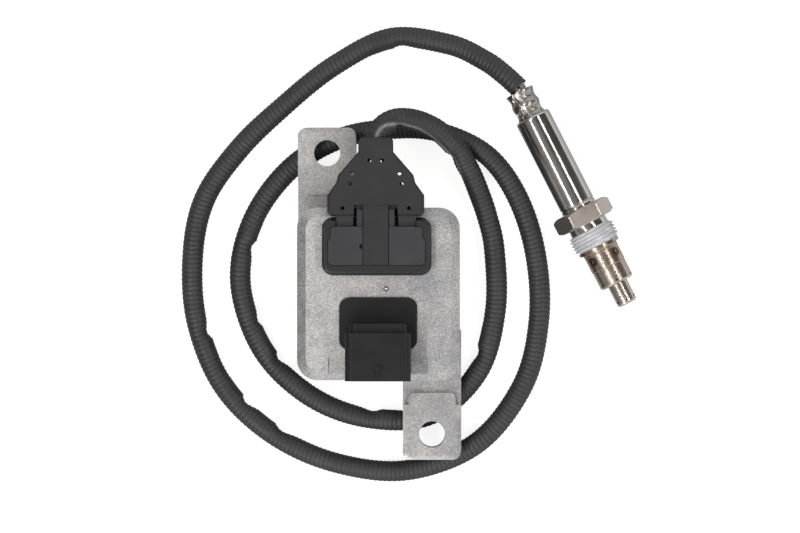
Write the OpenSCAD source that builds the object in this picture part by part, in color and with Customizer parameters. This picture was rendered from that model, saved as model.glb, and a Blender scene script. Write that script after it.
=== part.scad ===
// Nitrogen oxide sensor: cast control module, sleeved cable in two loops, and probe.
// Millimetres. +Z up, the floor at z = 0, the origin under the middle of module and probe.

/* [Housing] */
// Width of the cast housing
case_w = 66.4; // [64:0.2:72]
// Length of the cast housing without its ears
case_l = 70.4; // [68:0.2:76]
// Corner radius of the housing in plan
case_r = 8.5; // [6:0.5:10]
// Height from the back of the base to the raised top
case_h = 22; // [20:0.5:26]
// Wall of the lid casting
lid_wall = 2.4; // [1.8:0.1:3]
// Thickness of the lid's top
lid_top = 2.6; // [2:0.1:3.5]
// Width of the sloped border round the raised top
border_w = 3.6; // [2.5:0.1:4.5]
// Height of the sloped border
border_h = 3.2; // [2:0.1:4]
// Corner radius of the raised top
plateau_r = 5.5; // [4:0.5:7]
// Depth of the shallow recess behind the vehicle socket
recess_d = 0.8; // [0.4:0.1:1.2]
// Thickness of the base casting
base_t = 5; // [4:0.5:6]
// Gap of the seam between lid and base
seam = 0.3; // [0.2:0.1:0.6]
// Height of the base's locating rim inside the lid
rim_h = 2.5; // [1.5:0.5:4]

/* [Ears] */
// Width of each fixing ear
ear_w = 24; // [22:0.5:28]
// Reach of each ear beyond the housing
ear_l = 33.2; // [28:0.2:38]
// Corner radius at the free end of an ear
ear_r = 3.6; // [2:0.2:6]
// Height of the raised pad above the ear
pad_h = 2.5; // [1.5:0.5:3.5]
// Distance from the housing to the start of the pad
pad_start = 5.6; // [4:0.2:7]
// Diameter of each fixing hole
hole_d = 10.8; // [8:0.2:12]
// Distance from the housing edge to the centre of a fixing hole
hole_reach = 22.7; // [18:0.1:25]

/* [Vehicle socket] */
// Outer width of the shroud
shroud_w = 26.5; // [25:0.5:30]
// Outer height of the shroud
shroud_h = 15; // [14:0.5:18]
// Wall of the shroud
shroud_wall = 1.5; // [1:0.1:2]
// Length of the shroud, from its back wall to its mouth
shroud_l = 19.4; // [17:0.2:22]
// Width of the flange in the lid
v_flange_w = 31.1; // [30:0.1:34]
// Length of the flange in the lid
v_flange_l = 21; // [20:0.5:22]
// Number of contact pins
v_pin_n = 5; // [3:1:6]
// Distance between contact pins
v_pin_pitch = 3.8; // [3:0.1:4]

/* [Sensor plug and its frame] */
// Outer width of the frame
frame_w = 44.6; // [43:0.2:47]
// Outer length of the frame
frame_l = 23.7; // [23:0.1:26]
// Height of the frame above the lid
frame_h = 7; // [6.5:0.5:9]
// Width of the plug
plug_w = 39.2; // [38:0.2:40]
// Length of the plug's blocks
plug_l = 15.4; // [14:0.2:16]
// Width of the plug's neck under the cover
neck_w = 32.4; // [30:0.2:34]
// Width of the hold-down tongue
tongue_w = 10.1; // [8:0.1:11]
// Thickness of the hold-down tongue
tongue_t = 1.6; // [1.2:0.1:2]

/* [Cable cover] */
// Length of the cover from the frame to its mouth
cover_l = 31.7; // [31:0.1:34]
// Wall of both cover halves
cover_wall = 1.6; // [1.2:0.1:2]
// Diameter of the vent holes in the cover
vent_d = 1.6; // [1:0.1:2]

/* [Cable] */
// Outer diameter of the corrugated sleeve
cable_d = 9; // [8:0.2:9.4]
// Outer diameter of one lead
lead_d = 1.6; // [1.2:0.1:1.8]
// Radius of the circle of leads inside the sleeve
lead_ring = 2.7; // [2.4:0.1:3]

/* [Probe] */
// Width across flats of the mounting nut
hex_af = 22; // [20:0.5:24]
// Height of the nut's hexagon
hex_h = 7; // [6:0.5:9]
// Diameter of the nut's neck
nut_neck_d = 16.5; // [16:0.1:18]
// Length of the nut's neck
nut_neck_l = 2.5; // [1.5:0.5:4]
// Outer diameter of the thread
thread_d = 20; // [18:0.5:21]
// Length of the thread
thread_l = 7.6; // [6:0.2:10]
// Outer diameter of the steel sleeve
sleeve_d = 14.9; // [14.6:0.1:15.6]
// Length of the steel sleeve
sleeve_l = 42.6; // [40:0.2:48]
// Wall of the steel sleeve
sleeve_wall = 0.8; // [0.6:0.1:1]
// Length of the crimped collar that shows
collar_l = 11.5; // [10:0.1:13]
// Wall of the crimped collar
collar_wall = 0.6; // [0.4:0.1:0.8]
// Diameter of the sealing flange beyond the thread
flange_d = 17.8; // [17:0.1:19]
// Thickness of the sealing flange
flange_t = 1.3; // [1:0.1:2]
// Outer diameter of the upper protection tube
upper_tube_d = 14.9; // [14.6:0.1:15.6]
// Length of the upper protection tube
upper_tube_l = 8.3; // [7:0.1:10]
// Outer diameter of the middle protection tube
mid_tube_d = 14.5; // [14.2:0.1:14.6]
// Length of the middle protection tube that shows
mid_tube_l = 7.8; // [6.5:0.1:9]
// Outer diameter of the tip tube
tip_tube_d = 8.5; // [8:0.1:9.5]
// Length of the tip tube that shows
tip_tube_l = 9.5; // [8.5:0.1:12]
// Wall of the protection tubes
tube_wall = 0.5; // [0.3:0.1:0.6]

/* [Hidden] */
$fn = 64;
eps = 0.01;

// Layout as the object lies: module, probe and the height that the cable lifts the module to.
module_at = [-36.1, -9.1];
probe_at = [46.4, 26.1];
probe_turn = -62.9;
rest_z = cable_d + 0.3;
axis_z = hex_af / 2;

// Clearances between pieces that fit together.
fit = 0.1;
slip = 0.25;
running = 0.1;

// Housing.
plateau_w = case_w - 2 * border_w;
plateau_l = case_l - 2 * border_w;
inner_w = case_w - 2 * lid_wall;
inner_l = case_l - 2 * lid_wall;
inner_r = case_r - lid_wall;
ceiling_z = case_h - lid_top;
case_x = -0.4;
seal_w = 1.2;
seal_d = 1;
rim_w = 1.6;
ear_x = case_w / 2 - ear_w / 2 + 0.4;
hole_y = case_l / 2 + hole_reach;
pad_top = base_t + pad_h;
pad_taper = 4.9;
pad_step = 2.4;
pad_r = 2.2;
pad_end_slope = 2;
pad_end_drop = 0.7;
root_proud = 0;
board_margin = 2.5;
board_w = inner_w - 2 * board_margin;
board_l = inner_l - 2 * board_margin;
board_t = 1.6;
board_z = base_t + 5;
board_r = 3;
post_d = 5;
post_x = board_w / 2 - 3.8;
post_y = board_l / 2 - 4.3;
chip_w = 12;
chip_t = 1.4;
chip_foot = 1.5;
foot_t = 0.4;
chip_at = [-board_w / 2 + chip_w / 2 + chip_foot + 1, -board_l / 2 + chip_w / 2 + chip_foot + 5];
driver = [9, 10, 2.2];
driver_tab = [8, 3, 0.6];
driver_at = [board_w / 2 - driver.x / 2 - 6, -board_l / 2 + driver.y / 2 + 1.5];
capacitor_d = 4.4;
capacitor_h = 3.6;
capacitor_pitch = 8;
capacitor_y = 6;
capacitor_n = 6;
ball_at = [2.8, 2.2];
ball_d = 1.8;
ball_dish = 0.4;
ball_z = case_h - ball_d / 2 + 0.1;

// Vehicle socket, in the module's own frame.
v_x = -0.5;
shroud_mouth_y = -case_l / 2 + 0.3;
v_flange_y = shroud_mouth_y + shroud_l + 3.5;
v_flange_r = 4;
v_flange_t = 2.2;
v_pocket_t = 1.4;
v_gap = 0.35;
v_boss_w = v_flange_w - 5;
v_boss_l = v_flange_l - 5;
shroud_back_y = shroud_mouth_y + shroud_l;
shroud_z = case_h + 1.2;
shroud_mid_z = shroud_z + shroud_h / 2;
shroud_r = 2.8;
tier_w = shroud_w - 3.4;
tier_l = 3.7;
tier_foot = 7.3;
tier_drop = 2.2;
v_floor = 2.4;
nose_reach = 4.2;
nose_h = 0.7;
recess_w = 40.4;
recess_l = 9.2;
v_pin_w = 1.5;
v_pin_t = 0.8;
v_pin_tip = 4;
v_leg_y = shroud_back_y - 0.6;

// Sensor plug and its frame, in the module's own frame.
s_x = -1.1;
frame_y = case_l / 2 - 15.8;
frame_r = 4.6;
frame_bevel = 1.5;
frame_floor = 2;
cover_x = -1.4;
plug_y = frame_y + 0.1;
plug_z = case_h + frame_floor + slip;
plug_top = case_h + frame_h + 0.6;
plug_gap = 0.15;
plug_step = 1.1;
plug_step_l = 4.4;
block_end_y = plug_y + plug_l / 2;
neck_top = plug_top - 2.2;
lead_offsets = [-14, -10.5, -7, 7, 10.5, 14];
lead_turns = [-150, 150, 90, -90, 30, -30];
contact_y = plug_y - 2;
lead_z = plug_z + 1.9;
rib_w = 2.1;
rib_x = tongue_w / 2 + 0.3 + rib_w / 2;
rib_l = 14;
notch_w = rib_w + 1.7;
notch_x = rib_x + 0.55;
slot_w = 1.4;
slot_l = 7.4;
slot_x = rib_x + rib_w / 2 + 0.3 + slot_w / 2;
s_pin = 1;
s_boss_w = 36;
s_boss_l = 8;

// Cable cover, in the module's own frame.
cover_z = case_h + 2;
cover_half = 6.1;
cover_end_y = frame_y + frame_l / 2 + 0.55;
mouth_y = cover_end_y + cover_l;
mouth_bore = cable_d / 2 + 0.45;
mouth_depth = 6;
hook_l = 4;
tongue_root = 11.3;
neck_room = 7.4;
vents = [for (p = [[2.6, 22.3], [9.6, 17], [10.5, 12.9], [13.4, 3]]) [p.x, cover_end_y + p.y]];
cover_side = [for (p = [
    [6, cover_l], [7, cover_l - 1.3], [7.1, 25.7], [15.2, 16.4], [16, 13.2], [19.6, 8.2],
    [19.6, 1.2], [18.2, 0], [9.4, 0], [9.4, hook_l], [5.4, hook_l]
]) [p.x, cover_end_y + p.y]];

// Probe stations along its own axis, from the cable side of the hexagon towards the tip.
thread_start = hex_h + nut_neck_l;
thread_end = thread_start + thread_l;
flange_s = thread_end + 0.1;
tube_s = flange_s + flange_t;
step_s = tube_s + upper_tube_l;
shoulder_s = step_s + mid_tube_l;
tip_s = shoulder_s + tip_tube_l;
sleeve_end = -0.2;
sleeve_top = sleeve_end - sleeve_l;
mouth_s = sleeve_top - collar_l;
body_r = 6.6;
body_top = -7;
packing_r = 4.4;
element_w = 4.4;
element_t = 1.6;
holder_r = sleeve_d / 2 - sleeve_wall - slip;
holder_top = sleeve_top + 5;
holder_end = -14;
lead_stop = holder_top + 8;
spigot_r = upper_tube_d / 2 - tube_wall - fit / 2;

// Wavy outline of the crimped collar: a cosine of this pitch and swing about a mean radius.
crimp_pitch = 5.8;
crimp_swing = 0.42;
crimp_mean = 5.55;
crimp_crest = mouth_s + 6.2;
function crimp_r(s) = crimp_mean + crimp_swing * cos(360 * (s - crimp_crest) / crimp_pitch);

// Centreline of the sleeved cable, from inside the cover's mouth to the probe.
cable_low = cable_d / 2;
route = [
    [-37.5, 50, 33.3], [-37.3, 54.8, 33.3], [-34.6, 59.3, 31.7], [-29.6, 62, 28.8], [-23.3, 62.2, 24.8],
    [-17, 60.5, 20.7], [-11, 57.2, 17.4], [-4.9, 51.2, 14.3], [0.4, 43.1, 10], [4.6, 34.2, 6.3],
    [8.4, 23.5, 4.6], [11.5, 9, cable_low], [12, -16, cable_low],
    [4.5, -42, cable_low], [-15, -59.5, cable_low], [-40.5, -61, cable_low], [-65.5, -51.5, cable_low],
    [-85, -32, cable_low], [-94, -5, cable_low], [-89, 21, cable_low], [-72.5, 43.5, cable_low],
    [-50.5, 56, cable_low], [-24.5, 59.5, cable_low], [-5.5, 56, cable_low], [10.5, 46.5, cable_low],
    [22.5, 28, cable_low], [29, 5, cable_low], [30, -21, cable_low], [23, -48, cable_low],
    [4, -71.5, cable_low], [-24.5, -82.5, cable_low], [-54.5, -79.5, cable_low], [-81.5, -67, cable_low],
    [-101.5, -47, cable_low], [-112, -21.5, cable_low], [-114, 5, cable_low], [-109, 30, cable_low],
    [-94.5, 51, cable_low], [-76.5, 68.5, cable_low], [-54.5, 86, cable_low], [-31.5, 97, cable_low],
    [-7.5, 94.5, 5], [7.5, 87.5, 7.4], [15.5, 81.5, 10], [21, 76.4, 11]
];

// Room between the sloping cut end of the sleeve and the leads inside the cover.
lead_gap = 0.4;

// Vector helpers.
function unit(v) = v / norm(v);

// A point of the smooth curve through the route, between points i and i + 1 at share t.
function curve_at(p, i, t) =
    let (n = len(p) - 1, a = p[max(i - 1, 0)], b = p[i], c = p[min(i + 1, n)], d = p[min(i + 2, n)])
    0.5 * (2 * b + (c - a) * t + (2 * a - 5 * b + 4 * c - d) * t * t + (3 * b - a - 3 * c + d) * t * t * t);
function smooth(p, steps) = concat(
    [for (i = [0 : len(p) - 2]) for (k = [0 : steps - 1]) curve_at(p, i, k / steps)], [p[len(p) - 1]]
);

cable_path = smooth(route, 2);

// Direction of a path at point i, and one ring of points round it.
function heading(p, i) = unit(p[min(i + 1, len(p) - 1)] - p[max(i - 1, 0)]);
function ring(c, dir, r, n) =
    let (side = unit(cross(dir, [0, 0, 1])), up = cross(side, dir))
    [for (k = [0 : n - 1]) c + r * (cos(360 * k / n) * side + sin(360 * k / n) * up)];

// A closed tube along a path.
module tube_along(p, r, n) {
    count = len(p);
    points = [for (i = [0 : count - 1]) each ring(p[i], heading(p, i), r, n)];
    walls = [for (i = [0 : count - 2]) for (k = [0 : n - 1])
        [i * n + k, i * n + (k + 1) % n, (i + 1) * n + (k + 1) % n, (i + 1) * n + k]];
    first = [for (k = [n - 1 : -1 : 0]) k];
    last = [for (k = [0 : n - 1]) (count - 1) * n + k];
    polyhedron(points = points, faces = concat([first], walls, [last]), convexity = 10);
}

// A rectangle with round corners, centred.
module rounded(w, l, r) {
    square([w - 2 * r, l], center = true);
    square([w, l - 2 * r], center = true);
    for (x = [-1, 1]) for (y = [-1, 1]) translate([x * (w / 2 - r), y * (l / 2 - r)]) circle(r = r);
}

// A rounded rectangle whose sides lean in by the bevel over its height.
module bevelled(w, l, r, h, bevel) {
    hull() {
        linear_extrude(eps) rounded(w, l, r, $fn = 32);
        translate([0, 0, h - eps]) linear_extrude(eps)
            rounded(w - 2 * bevel, l - 2 * bevel, max(r - bevel, 1), $fn = 32);
    }
}

module on_module() translate([module_at.x, module_at.y, rest_z]) children();
module on_probe() translate([probe_at.x, probe_at.y, axis_z]) rotate([0, 90, probe_turn]) children();
module revolved(points) rotate_extrude($fn = 96) polygon(points);

// The two ears are the same ear turned by half a turn about the middle of the housing.
module both_ears() for (turn = [0, 180]) rotate(turn) children();

module case_lid() color("#b3b0ad") on_module() difference() {
    union() {
        translate([case_x, 0, base_t + seam]) linear_extrude(case_h - border_h - base_t - seam)
            rounded(case_w, case_l, case_r);
        translate([case_x, 0, 0]) hull() {
            translate([0, 0, case_h - border_h - eps]) linear_extrude(eps)
                rounded(case_w - eps, case_l - eps, case_r, $fn = 48);
            translate([0, 0, case_h - eps]) linear_extrude(eps) rounded(plateau_w, plateau_l, plateau_r, $fn = 48);
        }
    }
    translate([0, 0, base_t]) linear_extrude(ceiling_z - base_t) rounded(inner_w, inner_l, inner_r);
    translate([v_x, v_flange_y, ceiling_z - eps]) linear_extrude(lid_top + 1)
        rounded(v_boss_w + 2 * slip, v_boss_l + 2 * slip, 2);
    translate([v_x, v_flange_y, case_h - v_pocket_t]) linear_extrude(lid_top)
        rounded(v_flange_w + 2 * v_gap, v_flange_l + 2 * v_gap, v_flange_r + v_gap);
    translate([s_x, contact_y, ceiling_z - eps]) linear_extrude(lid_top + 1)
        rounded(s_boss_w + 2 * slip, s_boss_l + 2 * slip, 2);
    translate([v_x, -case_l / 2 + recess_l / 2, case_h - recess_d]) linear_extrude(recess_d + 1)
        square([recess_w, recess_l], center = true);
    translate([ball_at.x, ball_at.y, ceiling_z - eps]) cylinder(d = ball_d - 0.5, h = lid_top + 1);
    translate([ball_at.x, ball_at.y, ball_z]) sphere(d = ball_d + fit, $fn = 32);
    translate([ball_at.x, ball_at.y, ball_z]) cylinder(d = ball_d + fit, h = ball_d);
    translate([ball_at.x, ball_at.y, case_h - ball_dish]) cylinder(d1 = ball_d, d2 = ball_d + 0.7, h = ball_dish + eps);
}

// Plan of one raised pad up to its sloped end: narrower where it starts.
module pad_plan() {
    start_y = case_l / 2 + pad_start;
    full_y = start_y + pad_taper;
    end_y = case_l / 2 + ear_l - pad_end_slope - ear_r;
    translate([ear_x, (start_y + end_y) / 2]) rounded(ear_w - 2 * pad_step, end_y - start_y, pad_r);
    translate([ear_x, (full_y + end_y) / 2]) square([ear_w, end_y - full_y], center = true);
}

// Plan of the pad's free end beyond the hole.
module pad_end(shorter) translate([ear_x, case_l / 2 + ear_l - shorter - ear_r]) {
    square([ear_w - 2 * ear_r, 2 * ear_r], center = true);
    for (x = [-1, 1]) translate([x * (ear_w / 2 - ear_r), 0]) circle(r = ear_r);
}

// One raised pad; its top slopes down to the free end of the ear.
module pad() {
    linear_extrude(pad_top) pad_plan();
    hull() {
        linear_extrude(pad_top - pad_end_drop) pad_end(0);
        linear_extrude(pad_top) pad_end(pad_end_slope);
    }
}

// Plan of one ear with its root along the side of the housing.
module ear_plan() {
    translate([ear_x, case_l / 2 + ear_l / 2 - 5]) rounded(ear_w, ear_l + 10, ear_r);
    translate([ear_x - ear_w / 2, case_l / 2 - 12]) square([ear_w, 16]);
    translate([ear_x, 15]) square([ear_w / 2 + root_proud, case_l / 2 - 14]);
}

module case_base() color("#a9a6a3") on_module() difference() {
    union() {
        translate([case_x, 0, 0]) linear_extrude(base_t) rounded(case_w, case_l, case_r);
        linear_extrude(base_t + rim_h) rounded(inner_w - 2 * slip, inner_l - 2 * slip, inner_r - slip);
        rotate(180) mirror([1, 0]) both_ears() {
            linear_extrude(base_t) ear_plan();
            pad();
        }
        for (x = [-1, 1]) for (y = [-1, 1]) translate([x * post_x, y * post_y, 0]) cylinder(d = post_d, h = board_z);
    }
    difference() {
        translate([0, 0, base_t - 1.6]) linear_extrude(rim_h + 2)
            rounded(inner_w - 2 * (slip + rim_w), inner_l - 2 * (slip + rim_w), inner_r - slip - rim_w);
        for (x = [-1, 1]) for (y = [-1, 1]) translate([x * post_x, y * post_y, 0]) cylinder(d = post_d, h = board_z);
    }
    translate([0, 0, base_t - seal_d]) seal_ring_plan(seal_d + eps, seal_w);
    rotate(180) mirror([1, 0]) both_ears()
        translate([ear_x, hole_y, -1]) cylinder(d = hole_d, h = pad_top + 2, $fn = 96);
}

// A ring that follows the middle of the lid's wall.
module seal_ring_plan(h, w) linear_extrude(h) difference() {
    rounded(case_w - lid_wall + w, case_l - lid_wall + w, case_r - lid_wall / 2 + w / 2);
    rounded(case_w - lid_wall - w, case_l - lid_wall - w, case_r - lid_wall / 2 - w / 2);
}

module case_seal() color("#3a3a3c") on_module()
    translate([0, 0, base_t - seal_d + 0.02]) seal_ring_plan(seal_d + seam - 0.04, seal_w - 0.1);

module leak_test_ball() color("#e8e6e2") on_module()
    translate([ball_at.x, ball_at.y, ball_z]) sphere(d = ball_d, $fn = 32);

module circuit_board() color("#2f6b45") on_module() translate([0, 0, board_z]) difference() {
    linear_extrude(board_t) rounded(board_w, board_l, board_r);
    for (x = pin_row()) translate([v_x + x, v_leg_y, -1]) linear_extrude(board_t + 2)
        square([v_pin_w + fit, v_pin_t + fit], center = true);
    for (x = lead_offsets) translate([cover_x + x, contact_y, -1]) linear_extrude(board_t + 2)
        square(s_pin + fit, center = true);
}

module processor() color("#26262a") on_module() translate([chip_at.x, chip_at.y, board_z + board_t]) {
    translate([0, 0, foot_t / 2 + chip_t / 2]) cube([chip_w, chip_w, chip_t], center = true);
    for (turn = [0, 90]) rotate(turn) translate([0, 0, foot_t / 2])
        cube([chip_w + 2 * chip_foot, chip_w - 2 * chip_foot, foot_t], center = true);
}

module heater_driver() color("#303034") on_module() translate([driver_at.x, driver_at.y, board_z + board_t]) {
    translate([0, 0, driver.z / 2]) cube(driver, center = true);
    translate([0, (driver.y + driver_tab.y) / 2 - 0.5, driver_tab.z / 2]) cube(driver_tab, center = true);
}

// A row of capacitors between the connectors.
module capacitors() color("#c9c2b4") on_module()
    for (i = [0 : capacitor_n - 1])
        translate([(i - (capacitor_n - 1) / 2) * capacitor_pitch, capacitor_y, board_z + board_t])
            cylinder(d = capacitor_d, h = capacitor_h);

function pin_row() = [for (i = [0 : v_pin_n - 1]) (i - (v_pin_n - 1) / 2) * v_pin_pitch];

// One bent contact pin, grown by the clearance where it cuts its own seat.
module vehicle_pin(grow) {
    reach = v_leg_y - shroud_mouth_y - v_pin_tip;
    foot_z = board_z - 1;
    translate([0, v_leg_y - reach / 2 + v_pin_t / 2, shroud_mid_z])
        cube([v_pin_w + grow, reach + v_pin_t + grow, v_pin_t + grow], center = true);
    translate([0, v_leg_y, (shroud_mid_z + foot_z) / 2])
        cube([v_pin_w + grow, v_pin_t + grow, shroud_mid_z - foot_z + v_pin_t + grow], center = true);
}

module vehicle_pins() color("#c8b27a") on_module()
    for (x = pin_row()) translate([v_x + x, 0, 0]) vehicle_pin(0);

// Section of the shroud, seen along the mating direction.
module shroud_section(w, h, r) rounded(w, h, r);

module vehicle_header() color("#252527") on_module() difference() {
    union() {
        translate([v_x, v_flange_y, case_h - v_pocket_t + 0.6]) linear_extrude(v_flange_t)
            rounded(v_flange_w, v_flange_l, v_flange_r);
        translate([v_x, v_flange_y, ceiling_z]) linear_extrude(lid_top) rounded(v_boss_w, v_boss_l, 1.8);
        translate([v_x, shroud_mouth_y, shroud_mid_z]) rotate([-90, 0, 0]) linear_extrude(shroud_l)
            shroud_section(shroud_w, shroud_h, shroud_r);
        translate([v_x, shroud_back_y - eps, shroud_mid_z - tier_drop / 2]) rotate([-90, 0, 0])
            linear_extrude(tier_l) shroud_section(tier_w, shroud_h - tier_drop, shroud_r);
        translate([v_x, shroud_back_y + (tier_l - tier_foot) / 2, case_h]) linear_extrude(shroud_h / 2)
            rounded(tier_w, tier_l + tier_foot, 1.5);
        translate([v_x, shroud_mouth_y + nose_reach, shroud_z + shroud_h - eps]) locking_nose();
    }
    translate([v_x, shroud_mouth_y - eps, shroud_mid_z]) rotate([-90, 0, 0])
        linear_extrude(shroud_l - v_floor) shroud_section(shroud_w - 2 * shroud_wall, shroud_h - 2 * shroud_wall, 1);
    for (x = pin_row()) translate([v_x + x, 0, 0]) vehicle_pin(fit);
}

// Low nose with a narrow stem that the mating plug's latch rides over.
module locking_nose() linear_extrude(nose_h) {
    polygon([[-1.8, 1.6], [-1.8, 0.9], [-1, 0.1], [1, 0.1], [1.8, 0.9], [1.8, 1.6], [0, 2]]);
    translate([-0.6, -2.2]) square([1.2, 2.6]);
}

module vehicle_header_seal() color("#3a3a3c") on_module()
    translate([v_x, v_flange_y, case_h - v_pocket_t]) linear_extrude(0.6 - 0.02) difference() {
        rounded(v_flange_w - 0.6, v_flange_l - 0.6, v_flange_r);
        rounded(v_boss_w + 2 * slip + 0.4, v_boss_l + 2 * slip + 0.4, 2);
    }

// Plan of the plug's blocks, grown where it cuts its opening: narrower at the cable's end.
module plug_plan(grow) {
    rounded(plug_w - 2 * plug_step + 2 * grow, plug_l + 2 * grow, 1.4 + grow);
    translate([0, -plug_step_l / 2]) rounded(plug_w + 2 * grow, plug_l - plug_step_l + 2 * grow, 1.8 + grow);
}

module sensor_header() color("#3f3f42") on_module() difference() {
    union() {
        translate([s_x, frame_y, case_h + 0.02]) bevelled(frame_w, frame_l, frame_r, frame_h - 0.02, frame_bevel);
        translate([s_x, contact_y, ceiling_z]) linear_extrude(lid_top + 1) rounded(s_boss_w, s_boss_l, 1.8);
    }
    translate([s_x, plug_y, case_h + frame_floor]) linear_extrude(frame_h)
        plug_plan(plug_gap);
    translate([cover_x - neck_w / 2 - plug_gap, plug_y, case_h + frame_floor])
        cube([neck_w + 2 * plug_gap, frame_l, frame_h]);
    translate([s_x, contact_y, case_h - eps]) linear_extrude(0.8) s_seal_plan(0.1);
    for (x = lead_offsets) translate([cover_x + x, contact_y, ceiling_z - 1]) linear_extrude(frame_h)
        square(s_pin + fit, center = true);
}

// Plan of the seal under the frame, grown where it cuts its groove.
module s_seal_plan(grow) difference() {
    rounded(s_boss_w + 4 + grow, s_boss_l + 4 + grow, 3);
    rounded(s_boss_w + 1.6 - grow, s_boss_l + 1.6 - grow, 2);
}

module sensor_header_seal() color("#3a3a3c") on_module()
    translate([s_x, contact_y, case_h + 0.01]) linear_extrude(0.75) s_seal_plan(0);

module sensor_pins() color("#c8b27a") on_module()
    for (x = lead_offsets) translate([cover_x + x, contact_y, board_z - 1])
        linear_extrude(lead_z + 0.8 - board_z + 1) square(s_pin, center = true);

module plug_housing() color("#48464b") on_module() difference() {
    union() {
        translate([s_x, plug_y, plug_z]) linear_extrude(plug_top - plug_z) plug_plan(0);
        translate([cover_x - neck_w / 2, block_end_y - 1, plug_z])
            cube([neck_w, cover_end_y + neck_room - 1.4 - block_end_y + 1, neck_top - plug_z]);
        for (x = [-1, 1]) translate([cover_x + x * rib_x, block_end_y, (plug_z + plug_top) / 2 - 0.4])
            cube([rib_w, rib_l, plug_top - plug_z - 0.8], center = true);
    }
    translate([cover_x - tongue_w / 2 - 0.3, plug_y - plug_l / 2 - 1, plug_top - tongue_t - 0.1])
        cube([tongue_w + 0.6, plug_l + 20, tongue_t + 1]);
    translate([cover_x - tongue_w / 2 - 0.6, plug_y - 0.2, neck_top + 0.5]) cylinder(r = 1, h = plug_top - neck_top);
    for (x = [-1, 1]) translate([cover_x + x * slot_x, block_end_y + slot_l / 2 + 0.3, plug_z])
        cube([slot_w, slot_l, 2 * frame_h], center = true);
    for (x = lead_offsets) translate([cover_x + x, 0, 0]) {
        translate([0, contact_y, lead_z]) cube([2.4, 5.4, 3], center = true);
        translate([0, contact_y, plug_z - 1]) linear_extrude(3) square(s_pin + 0.6, center = true);
        translate([0, contact_y, lead_z]) rotate([-90, 0, 0]) cylinder(d = lead_d + 0.3, h = 30);
    }
}

module plug_terminals() color("#c8b27a") on_module()
    for (x = lead_offsets) translate([cover_x + x, contact_y, lead_z]) difference() {
        cube([2.2, 5.2, 2.8], center = true);
        translate([0, 0, -1]) cube([s_pin + fit, s_pin + fit, 4], center = true);
        translate([0, 1.2, 0]) rotate([-90, 0, 0]) cylinder(d = lead_d + fit, h = 3);
    }

// Plan of the cable cover, mirrored from one side.
module cover_plan() {
    polygon(concat(
        [for (p = cover_side) [cover_x + p.x, p.y]],
        [for (i = [len(cover_side) - 1 : -1 : 0]) [cover_x - cover_side[i].x, cover_side[i].y]]
    ));
}

module cover_cuts() {
    translate([cover_x, mouth_y + 1, cover_z]) rotate([90, 0, 0]) cylinder(r = mouth_bore, h = mouth_depth + 3);
    for (side = [-1, 1]) for (p = vents) translate([cover_x + side * p.x, p.y, 0])
        cylinder(d = vent_d, h = 2 * case_h, $fn = 12);
}

// Space inside the cover, kept clear of its walls.
module cover_room(low, high) translate([0, 0, low]) linear_extrude(high - low) intersection() {
    offset(delta = -cover_wall) cover_plan();
    translate([cover_x - frame_w / 2, cover_end_y + hook_l + cover_wall])
        square([frame_w, cover_l - hook_l - cover_wall - mouth_depth]);
}

module cover_top() color("#3e3e40") on_module() difference() {
    union() {
        translate([0, 0, cover_z + 0.01]) linear_extrude(cover_half - 1.2) cover_plan();
        translate([cover_x, (mouth_y + cover_end_y) / 2, cover_z + cover_half - 1.2]) linear_extrude(1.2, scale = [0.94, 0.97], slices = 1)
            translate([-cover_x, -(mouth_y + cover_end_y) / 2]) cover_plan();
        translate([cover_x - tongue_w / 2, plug_y - plug_l / 2, plug_top - tongue_t])
            cube([tongue_w, cover_end_y + tongue_root - plug_y + plug_l / 2, tongue_t]);
    }
    cover_room(cover_z - 1, cover_z + cover_half - cover_wall);
    translate([cover_x - neck_w / 2 - slip, cover_end_y - 1, cover_z - 1])
        cube([neck_w + 2 * slip, neck_room, neck_top + slip - cover_z + 1]);
    for (x = [-1, 1]) translate([cover_x + x * notch_x, cover_end_y, plug_top - 0.8 - cover_half])
        cube([notch_w, rib_l, 2 * (cover_half + slip)], center = true);
    cover_cuts();
}

module cover_bottom() color("#3a3a3c") on_module() difference() {
    union() {
        intersection() {
            translate([0, 0, cover_z - cover_half]) linear_extrude(cover_half) cover_plan();
            translate([-case_w, case_l / 2 + 1, 0]) cube([2 * case_w, cover_l, 2 * case_h]);
        }
        intersection() {
            translate([0, 0, case_h + 0.3]) linear_extrude(cover_z - case_h - 0.3) cover_plan();
            translate([-case_w, case_l / 2 - border_w, 0]) cube([2 * case_w, cover_l + border_w, 2 * case_h]);
        }
    }
    cover_room(cover_z - cover_half + cover_wall, cover_z + 1);
    translate([cover_x - neck_w / 2 - slip, cover_end_y - 1, case_h])
        cube([neck_w + 2 * slip, neck_room, 2 * cover_half]);
    cover_cuts();
}

// Leads inside the cover, from the end of the sleeve to the plug's contacts.
module plug_leads() color("#8c8c90") for (i = [0 : 5]) {
    start = [module_at.x + cover_x, route[0].y - lead_gap, rest_z + cover_z];
    turn = lead_turns[i];
    foot = [module_at.x + cover_x + lead_offsets[i], module_at.y + contact_y + 2.7, rest_z + lead_z];
    fan = [foot.x, module_at.y + cover_end_y + neck_room - 0.8, foot.z];
    from = start + [lead_ring * cos(turn), 0, lead_ring * sin(turn)];
    tube_along([from, from + [0, -3, 0], fan, foot], lead_d / 2, 8);
}

module cable_sleeve() color("#3c3c3e") tube_along(cable_path, cable_d / 2, 10);

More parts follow.
